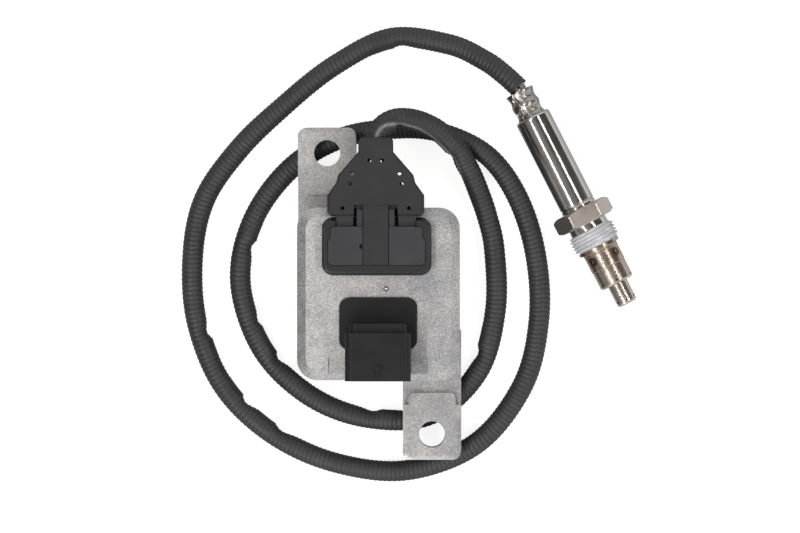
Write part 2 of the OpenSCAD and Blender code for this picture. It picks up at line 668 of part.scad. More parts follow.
// One lead from the cut end of the sleeve through the grommet into the contact holder.
cable_end = cable_path[len(cable_path) - 1];
cable_dir = heading(cable_path, len(cable_path) - 1);
function probe_point(s, a) =
    let (c = cos(probe_turn), d = sin(probe_turn), x = lead_ring * cos(a), y = lead_ring * sin(a))
    [probe_at.x + c * s - d * y, probe_at.y + d * s + c * y, axis_z - x];
module lead(i) {
    a = 60 * i + 30;
    side = unit(cross(cable_dir, [0, 0, 1]));
    from = cable_end - lead_ring * (cos(a) * cross(side, cable_dir) + sin(a) * side);
    tube_along([from, from + 0.4 * cable_dir, probe_point(mouth_s + 1.2, a), probe_point(lead_stop, a)], lead_d / 2, 8);
}
module lead_yellow() color("#c9a13c") lead(3);
module lead_blue() color("#7c94a8") lead(2);
module lead_white() color("#d8d6d0") lead(1);
module lead_red() color("#a4433a") lead(0);
module lead_green() color("#4f7a55") lead(5);
module lead_black() color("#2a2a2c") lead(4);

module lead_holes(d, low, high) for (i = [0 : 5]) rotate(60 * i + 30)
    translate([lead_ring, 0, low]) cylinder(d = d, h = high - low, $fn = 24);

// Stations along the collar at which its wave is drawn.
function wave(from, to, n, inset) = [for (k = [0 : n]) let (s = from + (to - from) * k / n) [crimp_r(s) - inset, s]];

module grommet() color("#4b3f36") on_probe() difference() {
    revolved(concat([[0, mouth_s + 2]], wave(mouth_s + 2, sleeve_top + 1, 24, collar_wall + 0.05), [[0, sleeve_top + 1]]));
    lead_holes(lead_d + 0.2, mouth_s, sleeve_top + 2);
}

module crimp_collar() color("#b9b0a8") on_probe() {
    outer = wave(mouth_s, sleeve_top + 2, 36, 0);
    inner = wave(mouth_s, sleeve_top + 2, 36, collar_wall);
    revolved(concat(outer, [for (k = [len(inner) - 1 : -1 : 0]) inner[k]]));
}

// Rounded shoulder of the steel sleeve, a quarter circle of this radius.
shoulder_r = 2.2;
function quarter(cx, cs, r, from, to, n) = [for (k = [0 : n]) let (a = from + (to - from) * k / n)
    [cx + r * cos(a), cs + r * sin(a)]];

module probe_sleeve() color("#c4bbb2") on_probe() {
    r = sleeve_d / 2;
    hole_r = crimp_mean + crimp_swing + 0.1;
    bend = min(shoulder_r, r - hole_r - 0.1);
    revolved(concat(
        [[hole_r, sleeve_top]], quarter(r - bend, sleeve_top + bend, bend, -90, 0, 8),
        [[r, sleeve_end - 1.7], [r - 0.25, sleeve_end - 1.45], [r - 0.25, sleeve_end - 1.15], [r, sleeve_end - 0.9],
         [r, sleeve_end], [r - sleeve_wall, sleeve_end], [r - sleeve_wall, sleeve_top + 2.6], [hole_r, sleeve_top + 2.6]]
    ));
}

module contact_holder() color("#ded8cb") on_probe() difference() {
    translate([0, 0, holder_top]) cylinder(r = holder_r, h = holder_end - holder_top);
    translate([0, 0, (lead_stop + holder_end) / 2 + 1])
        cube([element_t + 3.6, element_w + 3, holder_end - lead_stop + 2], center = true);
    lead_holes(lead_d + 0.2, holder_top - 1, lead_stop + 0.3);
}

// Leaf contacts, three on each face of the element.
module contact_springs() color("#c8b27a") on_probe()
    for (side = [-1, 1]) for (k = [-1, 0, 1])
        translate([side * (element_t / 2 + 0.55), k * 1.5, (lead_stop + holder_end) / 2 + 3])
            cube([0.9, 0.9, holder_end - lead_stop - 6], center = true);

module sensing_element() color("#efe9dc") on_probe()
    translate([0, 0, (lead_stop + 4 + tip_s - 4) / 2])
        cube([element_t, element_w, tip_s - lead_stop - 8], center = true);

module element_slot() cube([element_t + 0.2, element_w + 0.2, 200], center = true);

module packing(low, high) difference() {
    translate([0, 0, low]) cylinder(r = packing_r, h = high - low);
    element_slot();
}

module ceramic_rear() color("#e6e0d2") on_probe() packing(body_top + 1.5, 4);
module talc_packing() color("#cfc8ba") on_probe() packing(4, 11);
module ceramic_front() color("#e6e0d2") on_probe() packing(11, tube_s);

module probe_body() color("#9c8f84") on_probe() {
    bore = packing_r + 0.05;
    revolved([
        [bore, body_top], [sleeve_d / 2 - sleeve_wall - 0.05, body_top], [sleeve_d / 2 - sleeve_wall - 0.05, sleeve_end - 0.5],
        [body_r, sleeve_end - 0.5], [body_r, flange_s], [flange_d / 2, flange_s], [flange_d / 2, tube_s],
        [spigot_r, tube_s], [spigot_r, tube_s + 4], [3.4, tube_s + 4], [3.4, tube_s], [bore, tube_s]
    ]);
}

module outer_tube() color("#6b5443") on_probe() {
    r = upper_tube_d / 2;
    revolved([
        [r - tube_wall, tube_s], [r + 0.15, tube_s], [r + 0.15, tube_s + 0.5], [r, tube_s + 0.7],
        [r + 0.12, tube_s + 1], [r + 0.12, tube_s + 1.4], [r, tube_s + 1.6], [r, step_s - 0.3],
        [r - 0.25, step_s], [r - tube_wall, step_s]
    ]);
}

// Radial gas holes round a tube.
module gas_holes(n, d, s, reach) for (k = [0 : n - 1]) rotate(360 * k / n)
    translate([0, 0, s]) rotate([0, 90, 0]) cylinder(d = d, h = reach, $fn = 10);

module middle_tube() color("#5d4a3c") on_probe() difference() {
    r = mid_tube_d / 2;
    inside = upper_tube_d / 2 - tube_wall - 0.05;
    collar = tip_tube_d / 2 + 0.05;
    revolved([
        [inside - tube_wall, tube_s + 4.2], [inside, tube_s + 4.2], [inside, step_s], [r, step_s],
        [r, shoulder_s - 0.9], [r - 0.3, shoulder_s - 0.3], [r - 0.9, shoulder_s], [collar, shoulder_s],
        [collar, shoulder_s - tube_wall], [r - tube_wall - 0.5, shoulder_s - tube_wall],
        [r - tube_wall, shoulder_s - tube_wall - 0.6], [r - tube_wall, step_s + tube_wall], [inside - tube_wall, step_s + tube_wall]
    ]);
    gas_holes(6, 0.9, shoulder_s - 1.5, mid_tube_d);
}

module tip_tube() color("#6a5748") on_probe() difference() {
    r = tip_tube_d / 2;
    end_r = 1.2;
    revolved(concat(
        [[r - tube_wall, shoulder_s - tube_wall - 1], [r + 1.6, shoulder_s - tube_wall - 1],
         [r + 1.6, shoulder_s - tube_wall - 0.05], [r, shoulder_s - tube_wall - 0.05]],
        quarter(r - end_r, tip_s - end_r, end_r, 0, 90, 6),
        [[0, tip_s], [0, tip_s - tube_wall], [r - tube_wall - 0.6, tip_s - tube_wall], [r - tube_wall, tip_s - tube_wall - 0.8]]
    ));
    gas_holes(6, 1, tip_s - 2.2, tip_tube_d);
}

module mounting_nut() color("#b4aaa0") on_probe() difference() {
    union() {
        intersection() {
            rotate(30) cylinder(r = hex_af / 2 / cos(30), h = hex_h, $fn = 6);
            revolved([[0, 0], [hex_af / 2 - 0.3, 0], [hex_af / 2 / cos(30), 1.2],
                [hex_af / 2 / cos(30), hex_h - 0.9], [hex_af / 2 + 0.2, hex_h], [0, hex_h]]);
        }
        translate([0, 0, hex_h - 1]) cylinder(d = nut_neck_d, h = nut_neck_l + 2);
        revolved([[0, thread_start], [thread_d / 2 - 1, thread_start], [thread_d / 2, thread_start + 0.6],
            [thread_d / 2, thread_end - 0.8], [thread_d / 2 - 1, thread_end], [0, thread_end]]);
    }
    translate([0, 0, -1]) cylinder(r = body_r + running, h = thread_end + 2, $fn = 96);
}

case_lid();
case_base();
case_seal();
leak_test_ball();
circuit_board();
processor();
heater_driver();
capacitors();
vehicle_header();
vehicle_pins();
vehicle_header_seal();
sensor_header();
sensor_pins();
sensor_header_seal();
plug_housing();
plug_terminals();
cover_top();
cover_bottom();
plug_leads();
cable_sleeve();
lead_yellow();
lead_blue();
lead_white();
lead_red();
lead_green();
lead_black();
grommet();
crimp_collar();
probe_sleeve();
contact_holder();
contact_springs();
sensing_element();
probe_body();
ceramic_rear();
talc_packing();
ceramic_front();
outer_tube();
middle_tube();
tip_tube();
mounting_nut();
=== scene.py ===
"""Nitrogen oxide sensor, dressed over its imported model.

The cast control module lies on its own cable, which runs twice round it and ends in the
probe. Lengths are in metres unless a name or a text says otherwise, and stations along the
probe are the ones that its solids are built with.
"""

import logging
import math
from dataclasses import dataclass
from enum import Enum

import bmesh
import bpy
import numpy as np
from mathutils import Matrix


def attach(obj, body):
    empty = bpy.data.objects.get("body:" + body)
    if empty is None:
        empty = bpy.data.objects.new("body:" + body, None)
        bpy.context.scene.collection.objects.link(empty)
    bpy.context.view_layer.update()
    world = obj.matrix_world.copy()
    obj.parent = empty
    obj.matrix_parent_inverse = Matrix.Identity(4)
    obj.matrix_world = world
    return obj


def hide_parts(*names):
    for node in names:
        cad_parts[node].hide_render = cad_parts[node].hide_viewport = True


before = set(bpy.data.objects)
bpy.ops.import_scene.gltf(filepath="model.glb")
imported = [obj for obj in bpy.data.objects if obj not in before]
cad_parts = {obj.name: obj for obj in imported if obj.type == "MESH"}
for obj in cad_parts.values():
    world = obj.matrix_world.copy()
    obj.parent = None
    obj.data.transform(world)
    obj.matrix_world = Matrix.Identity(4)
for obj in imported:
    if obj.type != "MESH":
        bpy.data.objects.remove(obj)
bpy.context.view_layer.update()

LOG = logging.getLogger("nox_sensor")
MM = 0.001
Colour = tuple[float, float, float]
Socket = bpy.types.NodeSocket
Value = Socket | float | tuple[float, ...]

# Where the probe lies and how it is turned, as in the solids.
PROBE_AT = np.array([46.4, 26.1, 11.0]) * MM
PROBE_TURN = math.radians(-62.9)


class Body(Enum):
    """The two rigid bodies of the model."""

    SENSOR = "sensor"
    NUT = "nut"


def on_probe(points_mm: np.ndarray) -> np.ndarray:
    """Probe frame to the part's frame: local z runs along the probe to its tip.

    A quarter turn about y lays z along x, then the probe's own turn about z follows.

    Args:
        points_mm: rows of x, y, z in millimetres.

    Returns:
        The rows in the part's frame, in metres.
    """
    x, y, z = points_mm.T
    c, s = math.cos(PROBE_TURN), math.sin(PROBE_TURN)
    turned = np.stack([c * z - s * y, s * z + c * y, -x], axis=1)
    return turned * MM + PROBE_AT


def smoothstep(low: float, high: float, x: np.ndarray) -> np.ndarray:
    """0 below low, 1 above high, and an even S between them."""
    t = np.clip((x - low) / (high - low), 0.0, 1.0)
    return t * t * (3.0 - 2.0 * t)


def grid_faces(rows: int, columns: int, closed: bool = True) -> np.ndarray:
    """Quads of a grid of rows by columns, each quad joining row i to row i + 1.

    Args:
        rows: number of rings or lines of points.
        columns: points in each row.
        closed: whether the last column joins the first.

    Returns:
        An array of four indices a face.
    """
    span = columns if closed else columns - 1
    i, k = np.meshgrid(np.arange(rows - 1), np.arange(span), indexing="ij")
    n = (k + 1) % columns
    a, b = i * columns + k, i * columns + n
    return np.stack([a, b, b + columns, a + columns], axis=-1).reshape(-1, 4)


def make_mesh(
    name: str,
    points: np.ndarray,
    faces: np.ndarray | list[list[int]],
    smooth_angle: float | None = 40.0,
) -> bpy.types.Object:
    """A linked object with its points in the part's frame.

    Args:
        name: name of the piece.
        points: rows of x, y, z in metres.
        faces: vertex indices of each face, all pointing outwards.
        smooth_angle: edges sharper than this many degrees stay sharp; None is all smooth.

    Returns:
        The new object, at the origin and unscaled.
    """
    mesh = bpy.data.meshes.new(name)
    listed = faces.tolist() if isinstance(faces, np.ndarray) else faces
    mesh.from_pydata(np.asarray(points, dtype=float).tolist(), [], listed)
    mesh.update()
    piece = bpy.data.objects.new(name, mesh)
    bpy.context.scene.collection.objects.link(piece)
    shade(piece, smooth_angle)
    return piece


def shade(piece: bpy.types.Object, smooth_angle: float | None) -> None:
    """Shades a piece smooth, but for its sharp edges.

    Args:
        piece: the object.
        smooth_angle: as for make_mesh.
    """
    mesh = piece.data
    mesh.polygons.foreach_set("use_smooth", np.ones(len(mesh.polygons), dtype=bool))
    if smooth_angle is not None:
        mesh.set_sharp_from_angle(angle=math.radians(smooth_angle))


def add_piece(
    piece: bpy.types.Object,
    body: Body,
    material: bpy.types.Material,
    replaces: tuple[str, ...] = (),
) -> bpy.types.Object:
    """Dresses a new piece and ties it to its body and the solids that it stands for.

    Args:
        piece: the object.
        body: the body that it moves with.
        material: what it is made of.
        replaces: the solids that it hides.

    Returns:
        The same object.
    """
    if not piece.data.materials:
        piece.data.materials.append(material)
    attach(piece, body.value)
    if replaces:
        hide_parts(*replaces)
    LOG.info("%s rides on %s", piece.name, body.value)
    return piece


class Nodes:
    """Places shader nodes in one tree and joins them by name."""

    def __init__(self, tree: bpy.types.NodeTree) -> None:
        """Starts an empty tree."""
        self.tree = tree
        tree.nodes.clear()

    def add(self, kind: str, inputs: dict | None = None, **settings: object) -> bpy.types.Node:
        """Adds a node.

        Args:
            kind: the node's type without its ShaderNode prefix.
            inputs: value or output socket for each input, by name or by index.
            **settings: the node's own properties.

        Returns:
            The node.
        """
        node = self.tree.nodes.new("ShaderNode" + kind)
        for key, value in settings.items():
            setattr(node, key, value)
        for key, value in (inputs or {}).items():
            if isinstance(value, bpy.types.NodeSocket):
                self.tree.links.new(value, node.inputs[key])
            else:
                node.inputs[key].default_value = value
        return node

    def math(
        self, operation: str, a: Value, b: Value = 0.0, c: Value = 0.0, clamp: bool = False
    ) -> Socket:
        """One sum of numbers or sockets, as its value socket."""
        return self.add(
            "Math", {0: a, 1: b, 2: c}, operation=operation, use_clamp=clamp
        ).outputs[0]

    def mix(self, factor: Value, a: Value, b: Value, blend: str = "MIX") -> Socket:
        """Mixes two colours.

        Args:
            factor: share of the second colour.
            a: first colour.
            b: second colour.
            blend: the way of mixing.

        Returns:
            The colour socket.
        """
        node = self.add("Mix", data_type="RGBA", blend_type=blend)
        for index, value in ((0, factor), (6, a), (7, b)):
            if isinstance(value, bpy.types.NodeSocket):
                self.tree.links.new(value, node.inputs[index])
            else:
                node.inputs[index].default_value = value
        return node.outputs[2]

    def ramp(self, factor: Socket, stops: list[tuple[float, Colour]]) -> Socket:
        """A colour ramp.

        Args:
            factor: place on the ramp, from 0 to 1.
            stops: place and colour of each stop.

        Returns:
            The colour socket.
        """
        node = self.add("ValToRGB", {0: factor})
        bar = node.color_ramp
        while len(bar.elements) < len(stops):
            bar.elements.new(0.5)
        for element, (place, colour) in zip(bar.elements, stops):
            element.position = place
            element.color = (*colour, 1.0)
        return node.outputs[0]


def rgba(colour: Colour) -> tuple[float, float, float, float]:
    """The colour with a full alpha."""
    return (*colour, 1.0)


def group(
    name: str, inputs: dict[str, float], outputs: dict[str, str]
) -> tuple[Nodes, bpy.types.Node, bpy.types.Node]:
    """An empty shared group with value inputs.

    Args:
        name: the group's name.
        inputs: default of each value input.
        outputs: socket type of each output, VALUE or RGBA.

    Returns:
        The node builder, the group's input node and its output node.
    """
    tree = bpy.data.node_groups.new(name, "ShaderNodeTree")
    for key, value in inputs.items():
        socket = tree.interface.new_socket(key, in_out="INPUT", socket_type="NodeSocketFloat")
        socket.default_value = value
    kinds = {"VALUE": "NodeSocketFloat", "RGBA": "NodeSocketColor"}
    for key, kind in outputs.items():
        tree.interface.new_socket(key, in_out="OUTPUT", socket_type=kinds[kind])
    nodes = Nodes(tree)
    source = tree.nodes.new("NodeGroupInput")
    sink = tree.nodes.new("NodeGroupOutput")
    return nodes, source, sink


def grain_group() -> bpy.types.NodeTree:
    """Cloudy mottle and fine grain from two noises in Object coordinates.

    Mottle is the coarse noise spread to 0..1, Grain the fine one, and Rough runs between
    the two given roughnesses with a share of both.

    Returns:
        The group.
    """
    nodes, source, sink = group(
        "grain",
        {"Mottle Scale": 120.0, "Grain Scale": 1500.0, "Rough Low": 0.4, "Rough High": 0.6},
        {"Mottle": "VALUE", "Grain": "VALUE", "Rough": "VALUE"},
    )
    place = nodes.add("TexCoord").outputs["Object"]
    coarse = nodes.add(
        "TexNoise", {"Vector": place, "Scale": source.outputs["Mottle Scale"], "Detail": 3.0}
    ).outputs[0]
    fine = nodes.add(
        "TexNoise", {"Vector": place, "Scale": source.outputs["Grain Scale"], "Detail": 2.0}
    ).outputs[0]
    spread = nodes.math("MULTIPLY_ADD", coarse, 2.4, -0.7, clamp=True)
    both = nodes.math("MULTIPLY_ADD", fine, 0.5, nodes.math("MULTIPLY", spread, 0.5))
    span = nodes.math(
        "SUBTRACT", source.outputs["Rough High"], source.outputs["Rough Low"]
    )
    rough = nodes.math("MULTIPLY_ADD", both, span, source.outputs["Rough Low"])
    for key, value in (("Mottle", spread), ("Grain", fine), ("Rough", rough)):
        nodes.tree.links.new(value, sink.inputs[key])
    return nodes.tree


def spots_group() -> bpy.types.NodeTree:
    """Small round spots: cells whose centre is nearer than the spot's size.

    Returns:
        The group.
    """
    nodes, source, sink = group(
        "spots", {"Scale": 900.0, "Size": 0.3, "Share": 0.5}, {"Mask": "VALUE"}
    )
    place = nodes.add("TexCoord").outputs["Object"]
    cells = nodes.add("TexVoronoi", {"Vector": place, "Scale": source.outputs["Scale"]})
    near = nodes.math("LESS_THAN", cells.outputs["Distance"], source.outputs["Size"])
    pick = nodes.add("SeparateColor", {0: cells.outputs["Color"]}).outputs[0]
    chosen = nodes.math("LESS_THAN", pick, source.outputs["Share"])
    nodes.tree.links.new(nodes.math("MULTIPLY", near, chosen), sink.inputs["Mask"])
    return nodes.tree


GROUPS = {"grain": grain_group(), "spots": spots_group()}
BUILT: dict[str, bpy.types.Material] = {}


@dataclass(frozen=True)
class Finish:
    """A procedural finish: two colours through a mottle, with fine grain as bump."""

    name: str
    colour: Colour
    second: Colour
    rough: tuple[float, float]
    metallic: float = 0.0
    mottle_scale: float = 120.0
    grain_scale: float = 1500.0
    bump_mm: float = 0.03
    specular: float = 0.5

    def build(self) -> bpy.types.Material:
        """Makes the material once and hands the same one out again.

        Returns:
            The material.
        """
        if self.name in BUILT:
            return BUILT[self.name]
        material = BUILT[self.name] = bpy.data.materials.new(self.name)
        material.use_nodes = True
        nodes = Nodes(material.node_tree)
        grain = nodes.add(
            "Group",
            node_tree=GROUPS["grain"],
            inputs={
                "Mottle Scale": self.mottle_scale,
                "Grain Scale": self.grain_scale,
                "Rough Low": self.rough[0],
                "Rough High": self.rough[1],
            },
        )
        colour = nodes.mix(grain.outputs["Mottle"], rgba(self.colour), rgba(self.second))
        colour = self.tint(nodes, colour)
        height = self.height(nodes, grain.outputs["Grain"])
        bump = nodes.add("Bump", {"Height": height, "Distance": self.bump_mm * MM})
        shader = nodes.add(
            "BsdfPrincipled",
            {
                "Base Color": colour,
                "Roughness": grain.outputs["Rough"],
                "Metallic": self.metallic,
                "Specular IOR Level": self.specular,
                "Normal": bump.outputs[0],
            },
        )
        nodes.add("OutputMaterial", {0: shader.outputs[0]})
        return material

    def tint(self, nodes: Nodes, colour: Socket) -> Socket:
        """The base colour, changed by what a special finish adds."""
        return colour

    def height(self, nodes: Nodes, grain: Socket) -> Socket:
        """The bump's height, changed by what a special finish adds."""
        return grain


@dataclass(frozen=True)
class CastFinish(Finish):
    """Tumbled die casting: clouds, painted shade that darkens it towards +x, a lively grain and
    light and dark spots of shot.
    """

    dark: Colour = (0.20, 0.20, 0.215)
    light: Colour = (0.98, 0.97, 0.95)
    # Bluish grey multiplied in by the clouds and by the painted shade towards +x.
    cloud_and_shade: Colour = (0.66, 0.68, 0.74)
    cloud_scale: float = 48.0
    spot_scale: float = 1150.0
    contrast: float = 1.2
    speckle: float = 0.85
    shade_slope: float = 9.0

    def tint(self, nodes: Nodes, colour: Socket) -> Socket:
        """Multiplies in the clouds, denser towards +x as painted shade, and the grain, then
        adds the spots.

        Args:
            nodes: the tree's builder.
            colour: the base colour.

        Returns:
            The changed colour.
        """
        place = nodes.add("TexCoord").outputs["Object"]
        clouds = nodes.add(
            "TexNoise", {"Vector": place, "Scale": self.cloud_scale, "Detail": 5.0}
        )
        across = nodes.add("SeparateXYZ", {0: place}).outputs[0]
        # Painted shade: the cloud colour grows towards +x, so the casting darkens on that side.
        shade_slope = nodes.math("MULTIPLY_ADD", across, self.shade_slope, self.shade_slope * 0.036 - 1.3)
        share = nodes.math("MULTIPLY_ADD", clouds.outputs[0], 3.2, shade_slope, clamp=True)
        colour = nodes.mix(share, colour, rgba(self.cloud_and_shade), blend="MULTIPLY")
        fine = nodes.add("TexNoise", {"Vector": place, "Scale": self.spot_scale, "Detail": 3.0})
        level = nodes.math(
            "MULTIPLY_ADD", fine.outputs[0], self.contrast, 1.0 - self.contrast / 2.0
        )
        colour = nodes.mix(1.0, colour, level, blend="MULTIPLY")
        for scale, size, share, shade_colour, amount in (
            (self.spot_scale, 0.40, 0.30, self.dark, 0.42),
            (self.spot_scale * 1.31, 0.36, 0.34, self.light, 0.60),
        ):
            mask = nodes.add(
                "Group",
                node_tree=GROUPS["spots"],
                inputs={"Scale": scale, "Size": size, "Share": share},
            ).outputs["Mask"]
            share = nodes.math("MULTIPLY", mask, amount * self.speckle)
            colour = nodes.mix(share, colour, rgba(shade_colour))
        return colour


def probe_place(nodes: Nodes) -> Socket:
    """The shaded point in the probe's frame: x along it, y to its side and z up.

    Args:
        nodes: the tree's builder.

    Returns:
        The vector socket.
    """
    return nodes.add(
        "Mapping",
        {
            "Vector": nodes.add("TexCoord").outputs["Object"],
            "Location": tuple(PROBE_AT),
            "Rotation": (0.0, 0.0, PROBE_TURN),
        },
        vector_type="TEXTURE",
    ).outputs[0]


@dataclass(frozen=True)
class AlongProbeFinish(Finish):
    """Steel whose colour changes along the probe, as welding heat tints it.

    Stops are (station in millimetres, colour), between the first and the last one. Four
    spot welds lie at one station, an eighth of a turn off the top, and rings of the given
    half width stand a little proud. Dip and rise are heights in units of the fine grain.
    """

    stops: tuple[tuple[float, Colour], ...] = ()
    weld_station: float = 22.3
    weld_offset: float = 5.3
    weld_r: float = 0.9
    halo_r: float = 2.3
    weld_dip: float = 6.0
    ring_rise: float = 7.0
    rings: tuple[tuple[float, float], ...] = ()

    def from_weld(self, nodes: Nodes) -> Socket:
        """Distance to the nearest spot weld; the four fold into one by the axes' signs.

        Args:
            nodes: the tree's builder.

        Returns:
            The distance in metres.
        """
        folded = nodes.add(
            "VectorMath", {0: probe_place(nodes)}, operation="ABSOLUTE"
        ).outputs[0]
        centre = (self.weld_station * MM, self.weld_offset * MM, self.weld_offset * MM)
        return nodes.add(
            "VectorMath", {0: folded, 1: centre}, operation="DISTANCE"
        ).outputs["Value"]

    def tint(self, nodes: Nodes, colour: Socket) -> Socket:
        """Multiplies the colour by a ramp along the axis and by the welds' brown halos.

        Args:
            nodes: the tree's builder.
            colour: the base colour.

        Returns:
            The changed colour.
        """
        along = nodes.add("SeparateXYZ", {0: probe_place(nodes)}).outputs[0]
        place = nodes.add("TexCoord").outputs["Object"]
        low, high = self.stops[0][0], self.stops[-1][0]
        wander = nodes.add("TexNoise", {"Vector": place, "Scale": 260.0, "Detail": 2.0})
        along = nodes.math("MULTIPLY_ADD", wander.outputs[0], 0.9 * MM, along)
        share = nodes.add(
            "MapRange", {0: along, 1: low * MM, 2: high * MM, 3: 0.0, 4: 1.0}
        ).outputs[0]
        stops = [((s - low) / (high - low), c) for s, c in self.stops]
        colour = nodes.mix(1.0, colour, nodes.ramp(share, stops), blend="MULTIPLY")
        reach = nodes.math("DIVIDE", self.from_weld(nodes), self.halo_r * MM, clamp=True)
        core = self.weld_r / self.halo_r
        burnt = nodes.ramp(
            reach,
            [
                (0.0, (0.62, 0.64, 0.70)), (core * 0.55, (0.50, 0.50, 0.54)),
                (core, (0.24, 0.16, 0.11)), (0.72, (0.42, 0.30, 0.21)), (1.0, (1.0, 1.0, 1.0)),
            ],
        )
        return nodes.mix(1.0, colour, burnt, blend="MULTIPLY")

    def height(self, nodes: Nodes, grain: Socket) -> Socket:
        """Adds the welds' dimples and the rings to the bump's height.

        Args:
            nodes: the tree's builder.
            grain: the fine grain's height.

        Returns:
            The changed height.
        """
        weld = self.from_weld(nodes)
        dip = nodes.add(
            "MapRange", {0: weld, 1: 0.0, 2: self.weld_r * MM, 3: -self.weld_dip, 4: 0.0},
            interpolation_type="SMOOTHSTEP",
        ).outputs[0]
        total = nodes.math("ADD", grain, dip)
        along = nodes.add("SeparateXYZ", {0: probe_place(nodes)}).outputs[0]
        for station, half in self.rings:
            off = nodes.math("ABSOLUTE", nodes.math("SUBTRACT", along, station * MM))
            rise = nodes.add(
                "MapRange", {0: off, 1: half * MM, 2: 0.0, 3: 0.0, 4: self.ring_rise},
                interpolation_type="SMOOTHSTEP",
            ).outputs[0]
            total = nodes.math("ADD", total, rise)
        return total


@dataclass(frozen=True)
class SleeveFinish(Finish):
    """Corrugated sleeve: painted highlights on its crests, darker grooves and a painted
    highlight along the slit's cut edge.
    """

    # Painted highlight on the crests, in patches.
    crest: Colour = (0.050, 0.050, 0.053)
    # Painted highlight along the slit's cut edge.
    cut: Colour = (0.34, 0.34, 0.35)

    def tint(self, nodes: Nodes, colour: Socket) -> Socket:
        """Paints a highlight on the crests in patches, and one along the cut edge of the slit.

        Args:
            nodes: the tree's builder.
            colour: the base colour.

        Returns:
            The changed colour.
        """
        crest = nodes.add("Attribute", attribute_name="crest").outputs["Fac"]
        cut = nodes.add("Attribute", attribute_name="cut").outputs["Fac"]
        place = nodes.add("TexCoord").outputs["Object"]
        patch = nodes.add("TexNoise", {"Vector": place, "Scale": 90.0, "Detail": 4.0})
        crest_highlight_patches = nodes.math("MULTIPLY_ADD", patch.outputs[0], 1.8, -0.35, clamp=True)
        colour = nodes.mix(nodes.math("MULTIPLY", crest, crest_highlight_patches), colour, rgba(self.crest))
        return nodes.mix(cut, colour, rgba(self.cut))


SLEEVE = SleeveFinish(
    "sleeve", (0.0155, 0.0155, 0.0175), (0.028, 0.028, 0.0315), (0.44, 0.58), bump_mm=0.06,
    specular=0.6,
)
CASTING = CastFinish(
    "casting", (0.52, 0.515, 0.51), (0.64, 0.63, 0.62), (0.40, 0.58), metallic=0.8,
    mottle_scale=260.0, grain_scale=1700.0, bump_mm=0.07,
)
# Lighter finish on the castings' rounded edges: a painted highlight.
CASTING_EDGE_HIGHLIGHT = CastFinish(
    "casting_edge_highlight", (0.74, 0.735, 0.72), (0.86, 0.855, 0.84), (0.30, 0.44), metallic=0.8,
    mottle_scale=420.0, grain_scale=1900.0, bump_mm=0.05, contrast=0.4, speckle=0.3,
)
CASTING_BASE = CastFinish(
    "casting_base", (0.50, 0.495, 0.49), (0.60, 0.59, 0.58), (0.40, 0.56), metallic=0.8,
    mottle_scale=260.0, grain_scale=1700.0, bump_mm=0.06, contrast=1.0, speckle=0.55,
)
COVER = Finish(
    "cover", (0.0285, 0.0285, 0.0315), (0.0365, 0.0365, 0.0395), (0.54, 0.68), bump_mm=0.04,
    specular=0.35,
)
# Lighter finish on the cover's rounded edges and vent rims: a painted highlight.
COVER_EDGE_HIGHLIGHT = Finish(
    "cover_edge_highlight", (0.036, 0.036, 0.037), (0.048, 0.048, 0.049), (0.50, 0.62), specular=0.35
)
FRAME = Finish(
    "frame", (0.0215, 0.0215, 0.024), (0.0295, 0.0295, 0.032), (0.50, 0.64), bump_mm=0.04,
    specular=0.35,
)
PLUG = Finish(
    "plug", (0.042, 0.041, 0.0475), (0.051, 0.050, 0.0565), (0.52, 0.66), bump_mm=0.04,
    specular=0.35,
)
PLUG_EDGE = Finish(
    "plug_edge", (0.046, 0.044, 0.049), (0.11, 0.11, 0.12), (0.46, 0.60), mottle_scale=600.0,
    specular=0.35,
)
SOCKET = Finish(
    "socket", (0.0135, 0.0135, 0.0145), (0.020, 0.020, 0.021), (0.42, 0.58), bump_mm=0.03,
    specular=0.25,
)
RUBBER = Finish("rubber", (0.022, 0.022, 0.024), (0.034, 0.034, 0.036), (0.60, 0.78))
GROMMET = Finish("grommet", (0.070, 0.046, 0.034), (0.10, 0.066, 0.048), (0.55, 0.72))
CONTACT = Finish("contact", (0.66, 0.55, 0.34), (0.74, 0.66, 0.50), (0.22, 0.36), metallic=1.0)
CERAMIC = Finish("ceramic", (0.74, 0.70, 0.62), (0.82, 0.79, 0.73), (0.40, 0.55))
TALC = Finish("talc", (0.66, 0.62, 0.54), (0.74, 0.70, 0.63), (0.75, 0.90))
LAMINATE = Finish("laminate", (0.020, 0.10, 0.045), (0.030, 0.13, 0.060), (0.30, 0.42))
CHIP = Finish("chip", (0.018, 0.018, 0.020), (0.026, 0.026, 0.028), (0.45, 0.58))
CAPACITOR = Finish("capacitor", (0.44, 0.36, 0.26), (0.54, 0.46, 0.34), (0.40, 0.52))
BALL = Finish("ball", (0.82, 0.81, 0.79), (0.88, 0.87, 0.85), (0.10, 0.18), metallic=1.0)
POLISHED = Finish(
    "polished_steel", (0.57, 0.54, 0.52), (0.63, 0.595, 0.57), (0.12, 0.19), metallic=1.0,
    bump_mm=0.01,
)
CRIMPED = Finish(
    "crimped_steel", (0.38, 0.36, 0.345), (0.47, 0.445, 0.43), (0.24, 0.32), metallic=1.0
)
NUT = Finish(
    "nut_steel", (0.58, 0.53, 0.485), (0.66, 0.605, 0.555), (0.30, 0.40), metallic=1.0,
    bump_mm=0.02,
)
PASTE = Finish(
    "thread_paste", (0.56, 0.57, 0.60), (0.80, 0.81, 0.84), (0.50, 0.72),
    mottle_scale=420.0, bump_mm=0.08,
)
